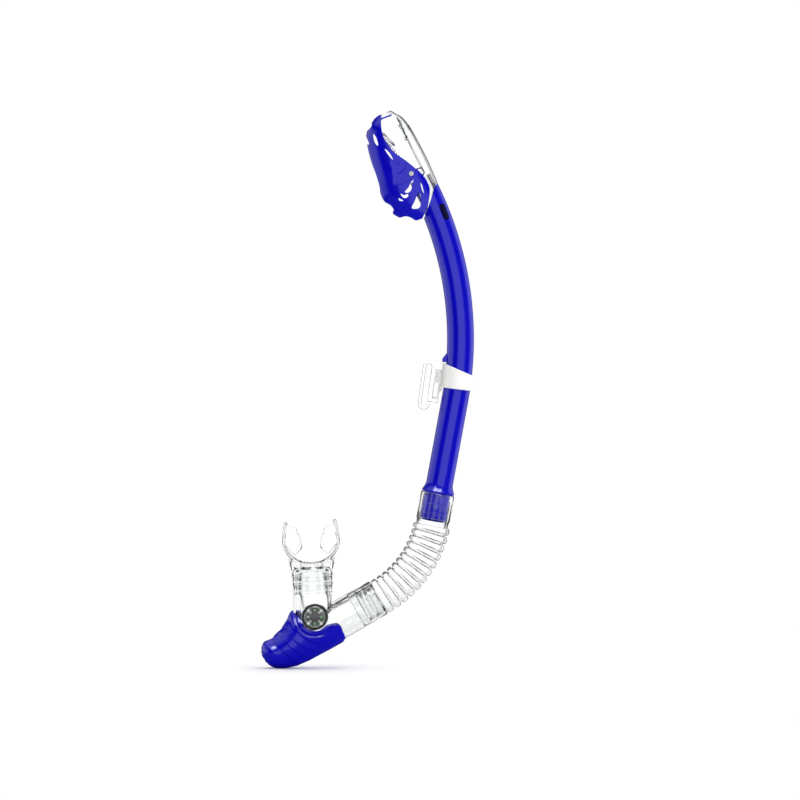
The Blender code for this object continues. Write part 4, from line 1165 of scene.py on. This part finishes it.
# ---------------------------------------------------------------- compass


def dial_patch(name, outline, y, thickness=0.12 * MM):
    """A thin printed mark on the card."""
    return prism(name, outline, y - thickness, y)


def dial_bar(name, angle, near, far, width, y):
    """A mark that points away from the middle of the card."""
    place = tilted(COMPASS_CENTRE, 90 - angle)
    half = width / 2
    return dial_patch(name, [place(-half, near), place(half, near), place(half, far),
                             place(-half, far)], y)


def dial_diamond(name, angle, y):
    place = tilted(COMPASS_CENTRE, 90 - angle)
    points = [(0, 5.6), (1.5, 7.0), (0, 8.4), (-1.5, 7.0)]
    return dial_patch(name, [place(a * MM, b * MM) for a, b in points], y)


def dial_arc(name, start, end, near, far, y):
    outline = arc(COMPASS_CENTRE, far, start, end, 16) + arc(COMPASS_CENTRE, near, end, start, 16)
    return dial_patch(name, outline, y)


def build_card_marks(y):
    """The card's ring of ticks, diamonds, bars, quarter marks and arcs: a plain generic dial."""
    ticks = sizes().tick_count
    ring = [dial_bar(f"tick_{i}", 360 * i / ticks, 7.1 * MM, 8.1 * MM, 0.5 * MM, y)
            for i in range(ticks)]
    quarters = [dial_bar(f"quarter_{i}", 90 * i, 4.2 * MM, 6.4 * MM, 2.0 * MM, y)
                for i in (0, 1, 3)]
    arcs = [dial_arc("arc_left", 118, 158, 6.3 * MM, 6.8 * MM, y),
            dial_arc("arc_right", -68, -22, 6.3 * MM, 6.8 * MM, y),
            dial_arc("arc_low", 202, 248, 6.3 * MM, 6.8 * MM, y),
            dial_arc("arc_high", 22, 62, 6.3 * MM, 6.8 * MM, y)]
    diamonds = [dial_diamond(f"diamond_{i}", 45 + 90 * i, y - 0.1 * MM) for i in range(4)]
    bars = [dial_bar(f"bar_{i}", 45 + 90 * i, 4.2 * MM, 5.4 * MM, 2.2 * MM, y) for i in range(4)]
    bars.append(dial_bar("bar_west", 180, 4.4 * MM, 6.0 * MM, 1.6 * MM, y))
    glow = printed_paint("pale_green_paint_printed", colours().glow)
    leaf = printed_paint("leaf_green_paint_printed", colours().leaf)
    white = printed_paint("white_paint_printed", linear("#EEF0EE"))
    grey = printed_paint("grey_paint_printed", linear("#BDBBBC"))
    marks = (("card_ticks", ring, glow), ("card_quarters", quarters + arcs, leaf),
             ("card_diamonds", diamonds, white), ("card_bars", bars, grey))
    for name, parts, paint in marks:
        fit_piece(joined(name, parts), "compass_float", paint, "white_plastic")


def build_compass():
    """Button compass: ribbed case, floating card with its marks, and a clear lens."""
    back, front = COMPASS_BACK, COMPASS_FRONT
    radius, inner = COMPASS_RADIUS, COMPASS_RADIUS - 1.5 * MM
    floor = back - 1.2 * MM
    profile = [(back, inner - 4 * MM), (back, radius - 0.4 * MM), (back - 0.4 * MM, radius),
               (front + 1.4 * MM, radius), (front + 1.2 * MM, radius - 0.15 * MM),
               (front + 0.7 * MM, radius - 0.15 * MM), (front + 0.4 * MM, radius - 0.3 * MM),
               (front, radius - 0.7 * MM), (front, inner + 0.2 * MM), (front + 0.2 * MM, inner),
               (floor, inner), (floor, inner - 4 * MM)]
    case = turned("compass_cup", COMPASS_CENTRE, profile, steps=120)
    fit_piece(case, "housing", black_abs(), "black_plastic", "compass_case")
    face = floor - 1.8 * MM
    rim = inner - 0.5 * MM
    card = turned("compass_disc", COMPASS_CENTRE,
                  [(face + 0.5 * MM, 1.2 * MM), (face + 0.5 * MM, rim - 0.1 * MM),
                   (face + 0.4 * MM, rim), (face + 0.1 * MM, rim), (face, rim - 0.1 * MM),
                   (face, 3.3 * MM), (face - 0.25 * MM, 3.1 * MM), (face - 0.3 * MM, 1.4 * MM),
                   (face - 0.6 * MM, 0.8 * MM), (face - 0.7 * MM, 0.3 * MM)], steps=120)
    ground = printed_paint("charcoal_film_printed", colours().card)
    fit_piece(card, "compass_float", ground, "black_plastic", "compass_card")
    build_card_marks(face)
    lens_edge = inner - 0.3 * MM
    lens = turned("compass_window", COMPASS_CENTRE,
                  [(front + 1.0 * MM, 1.0 * MM), (front + 1.0 * MM, lens_edge),
                   (front + 0.1 * MM, lens_edge), (front - 0.15 * MM, lens_edge - 0.3 * MM),
                   (front - 0.3 * MM, lens_edge - 1.5 * MM), (front - 0.5 * MM, lens_edge - 4 * MM),
                   (front - 0.55 * MM, 1.0 * MM)], steps=120)
    fit_piece(lens, "housing", clear_acrylic(), "clear_plastic", "compass_lens")
    finish_node("compass_pivot", turned_steel())


# ---------------------------------------------------------------- mouthpiece


def flange_line(place):
    """Horseshoe middle line of the flange, from the left tip round the back to the right tip."""
    half = 21.8 * MM
    bend = []
    for i in range(33):
        angle = math.pi + math.pi * i / 32
        bend.append(place(half * math.cos(angle), 42.0 * MM + 18.6 * MM * math.sin(angle)))
    left = [place(-half + 2.4 * MM, 57.0 * MM), place(-half + 1.4 * MM, 53.5 * MM),
            place(-half + 0.5 * MM, 48.0 * MM)]
    right = [place(half - 0.5 * MM, 48.0 * MM), place(half - 1.4 * MM, 54.0 * MM),
             place(half - 2.4 * MM, 58.2 * MM)]
    return left + bend + right


def flange(place):
    """Curved lip guard that lies between the lips and the gums."""
    line = flange_line(place)
    rings = []
    for i, point in enumerate(line):
        ahead = line[min(i + 1, len(line) - 1)] - line[max(i - 1, 0)]
        normal = Vector((ahead.y, -ahead.x)).normalized()
        share = abs(2 * i / (len(line) - 1) - 1)
        half_height = (11.5 - 4.5 * share**3) * MM
        rings.append(oval(point, normal, 1.35 * MM, half_height, steps=48))
    return skin("mouth_flange", rings)


def bite_tab(place, side):
    """A tab that the teeth close on, with a thicker ridge along its inner edge."""
    half = 21.6 * MM
    tab = [(2.8, 55), (10.5, 52.6), (13.2, 45), (14.6, 36.5), (8.4, 30.8), (0.2, 40)]
    ridge = [(9.6, 51.4), (12.8, 45), (14.2, 37.0), (12.2, 36.0), (10.4, 44)]
    pieces = []
    for outline, thickness in ((tab, 2.2 * MM), (ridge, 4.4 * MM)):
        flat = [place(side * (half - a * MM), b * MM) for a, b in outline]
        bite = prism("bite", flat, -thickness, thickness)
        round_edges(bite, 0.9 * MM, segments=3)
        pieces.append(bite)
    return pieces


def build_mouthpiece():
    """Soft mouthpiece: ringed cuff over the stem, curved flange and two bite tabs."""
    place = tilted(MOUTH_BASE, -MOUTH_LEAN)

    def cuff_ring(height, half_width, half_depth):
        return oval(place(0, height * MM), direction(MOUTH_LEAN), half_width * MM, half_depth * MM,
                    steps=96, power=2.3)

    outer = [cuff_ring(*sizes_at) for sizes_at in
             ((0, 15.2, 11.6), (0.8, 15.6, 11.9), (1.6, 15.3, 11.6), (6.4, 15.6, 11.7),
              (7.2, 16.2, 12.2), (8.0, 15.7, 11.8), (13.6, 16.1, 11.7), (14.4, 16.7, 12.2),
              (15.2, 16.3, 11.7), (19, 16.8, 11.6), (24, 18.0, 10.6), (28, 18.4, 8.6))]
    inner = [cuff_ring(*sizes_at) for sizes_at in
             ((28, 8.8, 4.6), (21, 8.8, 4.8), (19.2, 14.0, 10.2), (0, 14.0, 10.2))]
    moulding = skin("mouth_moulding", outer + inner, loop=True)
    shape(moulding, prism("mouth_room", flange_line(place), -30 * MM, 30 * MM))
    for part in [flange(place)] + bite_tab(place, -1) + bite_tab(place, 1):
        shape(moulding, part, "UNION")
    airway = skin("mouth_airway", [cuff_ring(18.0, 8.8, 4.6), cuff_ring(34, 8.8, 4.6)])
    shape(moulding, airway)
    shade(moulding.data, 60)
    fit_piece(moulding, "housing", clear_silicone(), "clear_silicone", "mouthpiece")


# ---------------------------------------------------------------- stage

CAMERA_AIM = Vector((-21.2 * MM, 0.0, -12.0 * MM))
VIEW_WIDTH = 640.0 * MM
CAMERA_LENS = 400.0
CAMERA_ELEVATION = 1.2

# brightness that shiny surfaces see round the horizon, by angle from the camera's side
SOFTBOXES = [(-180, 0.25), (-142, 0.25), (-134, 1.0), (-72, 1.0), (-54, 0.0), (-24, 0.0),
             (-14, 1.0), (34, 1.0), (46, 0.0), (82, 0.0), (98, 1.0), (134, 1.0), (142, 0.25),
             (180, 0.25)]

# the rest of the studio, by the parts of a ray's unit direction and, for FLAG_EDGE, by the
# cosine that spaces the flags: each EDGE, FOOT or FADE is (start, end), and BOW_ALONG,
# BOW_ASIDE and FLAG_BAND are (middle, half width)
SOFTBOX_EDGE = (0.34, 0.46)
TOP_BOX_EDGE = (0.55, 0.75)
BOW_FOOT = (0.25, 0.4)
BOW_ALONG = (-0.52, 0.17)
BOW_ASIDE = (0.05, 0.4)
BOW_STRENGTH = 12.0
SOFT_FADE = (-0.8, 0.1)
SOFT_LEVELS = (0.46, 1.38)
FLAG_COUNT = 8.0
FLAG_EDGE = (-0.5, 0.6)
FLAG_LEVELS = (0.08, 1.22)
FLAG_BAND = (0.42, 0.12)
FLAG_BAND_LEVEL = 0.3


def set_camera():
    camera = bpy.data.cameras.new("view")
    camera.lens = CAMERA_LENS
    camera.clip_end = 60.0
    distance = VIEW_WIDTH / camera.sensor_width * camera.lens
    holder = bpy.data.objects.new("view", camera)
    lift = math.radians(CAMERA_ELEVATION)
    back = Vector((0.0, -math.cos(lift), math.sin(lift)))
    holder.location = CAMERA_AIM + back * distance
    holder.rotation_euler = (math.pi / 2 - lift, 0.0, 0.0)
    bpy.context.scene.collection.objects.link(holder)
    bpy.context.scene.camera = holder


def studio_world():
    """Soft white surround: reflections see tall softboxes, and refracted light sees dark flags."""
    world = bpy.data.worlds.new("studio")
    world.use_nodes = True
    tree = world.node_tree
    tree.nodes.clear()
    way = add_node(tree, "ShaderNodeTexCoord").outputs["Generated"]
    parts = add_node(tree, "ShaderNodeSeparateXYZ", links={"Vector": way})
    aside, along, rise = parts.outputs
    turn = maths(tree, "ARCTAN2", aside, maths(tree, "MULTIPLY", along, -1.0))
    shiny = shiny_light(tree, turn, aside, along, rise)
    clear = edge_flags(tree, turn, rise)
    soft = ranged(tree, aside, SOFT_FADE, SOFT_LEVELS)
    path = add_node(tree, "ShaderNodeLightPath").outputs
    undiffused = maths(tree, "LESS_THAN", path["Diffuse Depth"], 0.5)
    refracted = maths(tree, "MULTIPLY", path["Is Transmission Ray"], undiffused)
    level = choose(tree, path["Is Glossy Ray"], soft, shiny)
    level = choose(tree, refracted, level, clear)
    level = choose(tree, path["Is Camera Ray"], level, 1.0)
    light = add_node(tree, "ShaderNodeBackground", {"Color": (1.0, 1.0, 1.0, 1.0)},
                     {"Strength": level})
    add_node(tree, "ShaderNodeOutputWorld", links={"Surface": light.outputs[0]})
    bpy.context.scene.world = world


def shiny_light(tree, turn, aside, along, rise):
    """What reflections see: softboxes round the horizon, a wide one above and a bright bow."""
    place = ranged(tree, turn, (-math.pi, math.pi))
    boxes = add_node(tree, "ShaderNodeValToRGB", links={"Fac": place})
    fill_ramp(boxes.color_ramp, SOFTBOXES)
    near_horizon = ranged(tree, maths(tree, "ABSOLUTE", rise), SOFTBOX_EDGE, (1.0, 0.0))
    strips = maths(tree, "MULTIPLY", boxes.outputs["Color"], near_horizon)
    shiny = maths(tree, "MAXIMUM", strips, ranged(tree, rise, TOP_BOX_EDGE))
    return maths(tree, "ADD", shiny, bow_lamp(tree, aside, along, rise))


def bow_lamp(tree, aside, along, rise):
    """A bright bow over the front, which draws thin white streaks on gloss that faces up."""
    bow = maths(tree, "COMPARE", along, *BOW_ALONG)
    bow = maths(tree, "MULTIPLY", bow, maths(tree, "COMPARE", aside, *BOW_ASIDE))
    return maths(tree, "MULTIPLY", bow, ranged(tree, rise, BOW_FOOT, (0.0, BOW_STRENGTH)))


def edge_flags(tree, turn, rise):
    """Dark flags between the main viewing directions, which draw grey edges on clear pieces."""
    waves = maths(tree, "COSINE", maths(tree, "MULTIPLY", turn, FLAG_COUNT))
    flags = ranged(tree, waves, FLAG_EDGE, FLAG_LEVELS)
    in_band = maths(tree, "COMPARE", rise, *FLAG_BAND)
    band = ranged(tree, in_band, (0.0, 1.0), (1.0, FLAG_BAND_LEVEL))
    return maths(tree, "MULTIPLY", flags, band)


def fill_ramp(ramp, stops):
    """Sets a ramp's stops from (degrees, brightness) pairs."""
    while len(ramp.elements) > 1:
        ramp.elements.remove(ramp.elements[-1])
    for number, (degrees, level) in enumerate(stops):
        place = (degrees + 180) / 360
        stop = ramp.elements[0] if number == 0 else ramp.elements.new(place)
        stop.position = place
        stop.color = (level, level, level, 1.0)


def dim_in_gloss(paint, level):
    """Darkens the ground in reflections only, so that gloss which faces down keeps a deep colour."""
    tree = paint.node_tree
    shader = tree.nodes["Principled BSDF"]
    pale = shader.inputs["Base Color"].links[0].from_socket
    path = add_node(tree, "ShaderNodeLightPath").outputs
    seen = maths(tree, "GREATER_THAN", path["Is Glossy Ray"], path["Is Transmission Ray"])
    ground = add_node(tree, "ShaderNodeMix", {7: (level, level, level, 1.0)}, {0: seen, 6: pale},
                      data_type="RGBA")
    tree.links.new(ground.outputs[2], shader.inputs["Base Color"])


def pale_floor():
    # Painted board, matt white: even and pale, so that only a soft contact shadow shows.
    radius = sizes().floor_radius
    height = CAD_LOW.z - 0.3 * MM
    rim = [(radius * math.cos(a), radius * math.sin(a), height)
           for a in (2 * math.pi * i / 96 for i in range(96))]
    mesh = bpy.data.meshes.new("floor")
    mesh.from_pydata(rim, [], [tuple(range(96))])
    floor = bpy.data.objects.new("floor", mesh)
    bpy.context.scene.collection.objects.link(floor)
    paint = moulded("white_board_painted", linear("#F7F7F7"), (0.85, 0.95), 1.45, mottle=0.002,
                    grain=2.0)
    dim_in_gloss(paint, 0.06)
    mesh.materials.append(paint)


# ---------------------------------------------------------------- operators


class SNORKEL_OT_tube(Operator):
    """Builds the blue main tube and finishes its latch"""

    bl_idname = "snorkel.build_tube"
    bl_label = "Main tube"

    def execute(self, context):
        build_tube()
        return {"FINISHED"}


class SNORKEL_OT_dry_top(Operator):
    """Builds the guard, dome, neck and seal, and finishes the float valve"""

    bl_idname = "snorkel.build_dry_top"
    bl_label = "Dry top"

    def execute(self, context):
        build_guard()
        build_dome()
        build_neck()
        build_seal()
        finish_node("valve_seat", clear_polycarbonate())
        finish_node("hinge_pin", turned_steel())
        finish_node("float", white_polypropylene())
        finish_node("float_lever", white_abs())
        return {"FINISHED"}


class SNORKEL_OT_strap_clip(Operator):
    """Builds the keeper band and the strap clip"""

    bl_idname = "snorkel.build_strap_clip"
    bl_label = "Keeper and clip"

    def execute(self, context):
        build_keeper()
        build_clip()
        return {"FINISHED"}


class SNORKEL_OT_hose(Operator):
    """Builds the ribbed hose between tube and housing"""

    bl_idname = "snorkel.build_hose"
    bl_label = "Hose"

    def execute(self, context):
        build_hose()
        return {"FINISHED"}


class SNORKEL_OT_housing(Operator):
    """Builds the clear mouthpiece housing and finishes the purge seat"""

    bl_idname = "snorkel.build_housing"
    bl_label = "Housing"

    def execute(self, context):
        build_housing()
        return {"FINISHED"}


class SNORKEL_OT_purge(Operator):
    """Builds the blue purge cover and the valve under it"""

    bl_idname = "snorkel.build_purge"
    bl_label = "Purge cover"

    def execute(self, context):
        build_cover()
        build_diaphragm()
        return {"FINISHED"}


class SNORKEL_OT_compass(Operator):
    """Builds the button compass"""

    bl_idname = "snorkel.build_compass"
    bl_label = "Compass"

    def execute(self, context):
        build_compass()
        return {"FINISHED"}


class SNORKEL_OT_mouthpiece(Operator):
    """Builds the soft mouthpiece"""

    bl_idname = "snorkel.build_mouthpiece"
    bl_label = "Mouthpiece"

    def execute(self, context):
        build_mouthpiece()
        return {"FINISHED"}


class SNORKEL_OT_stage(Operator):
    """Sets up the camera, the studio light and the pale floor"""

    bl_idname = "snorkel.build_stage"
    bl_label = "Stage"

    def execute(self, context):
        context.scene.view_settings.view_transform = "Standard"
        set_camera()
        studio_world()
        pale_floor()
        return {"FINISHED"}


BUILDERS = (SNORKEL_OT_tube, SNORKEL_OT_dry_top, SNORKEL_OT_strap_clip, SNORKEL_OT_hose,
            SNORKEL_OT_housing, SNORKEL_OT_purge, SNORKEL_OT_compass, SNORKEL_OT_mouthpiece,
            SNORKEL_OT_stage)


class SNORKEL_PT_panel(Panel):
    """Lists the pieces and their settings"""

    bl_label = "Dry-top snorkel"
    bl_idname = "SNORKEL_PT_panel"
    bl_space_type = "VIEW_3D"
    bl_region_type = "UI"
    bl_category = "Snorkel"

    def draw(self, context):
        layout = self.layout
        for group in (context.scene.snorkel_sizes, context.scene.snorkel_colours):
            for key in group.__annotations__:
                layout.prop(group, key)
        for builder in BUILDERS:
            layout.operator(builder.bl_idname)


CLASSES = (SnorkelSizes, SnorkelColours) + BUILDERS + (SNORKEL_PT_panel,)


def register():
    for cls in CLASSES:
        bpy.utils.register_class(cls)
    bpy.types.Scene.snorkel_sizes = PointerProperty(type=SnorkelSizes)
    bpy.types.Scene.snorkel_colours = PointerProperty(type=SnorkelColours)


def unregister():
    del bpy.types.Scene.snorkel_colours
    del bpy.types.Scene.snorkel_sizes
    for cls in reversed(CLASSES):
        bpy.utils.unregister_class(cls)


def main():
    """Builds everything in order."""
    register()
    bpy.ops.snorkel.build_tube()
    bpy.ops.snorkel.build_dry_top()
    bpy.ops.snorkel.build_strap_clip()
    bpy.ops.snorkel.build_hose()
    bpy.ops.snorkel.build_housing()
    bpy.ops.snorkel.build_purge()
    bpy.ops.snorkel.build_compass()
    bpy.ops.snorkel.build_mouthpiece()
    bpy.ops.snorkel.build_stage()


if __name__ == "__main__":
    main()
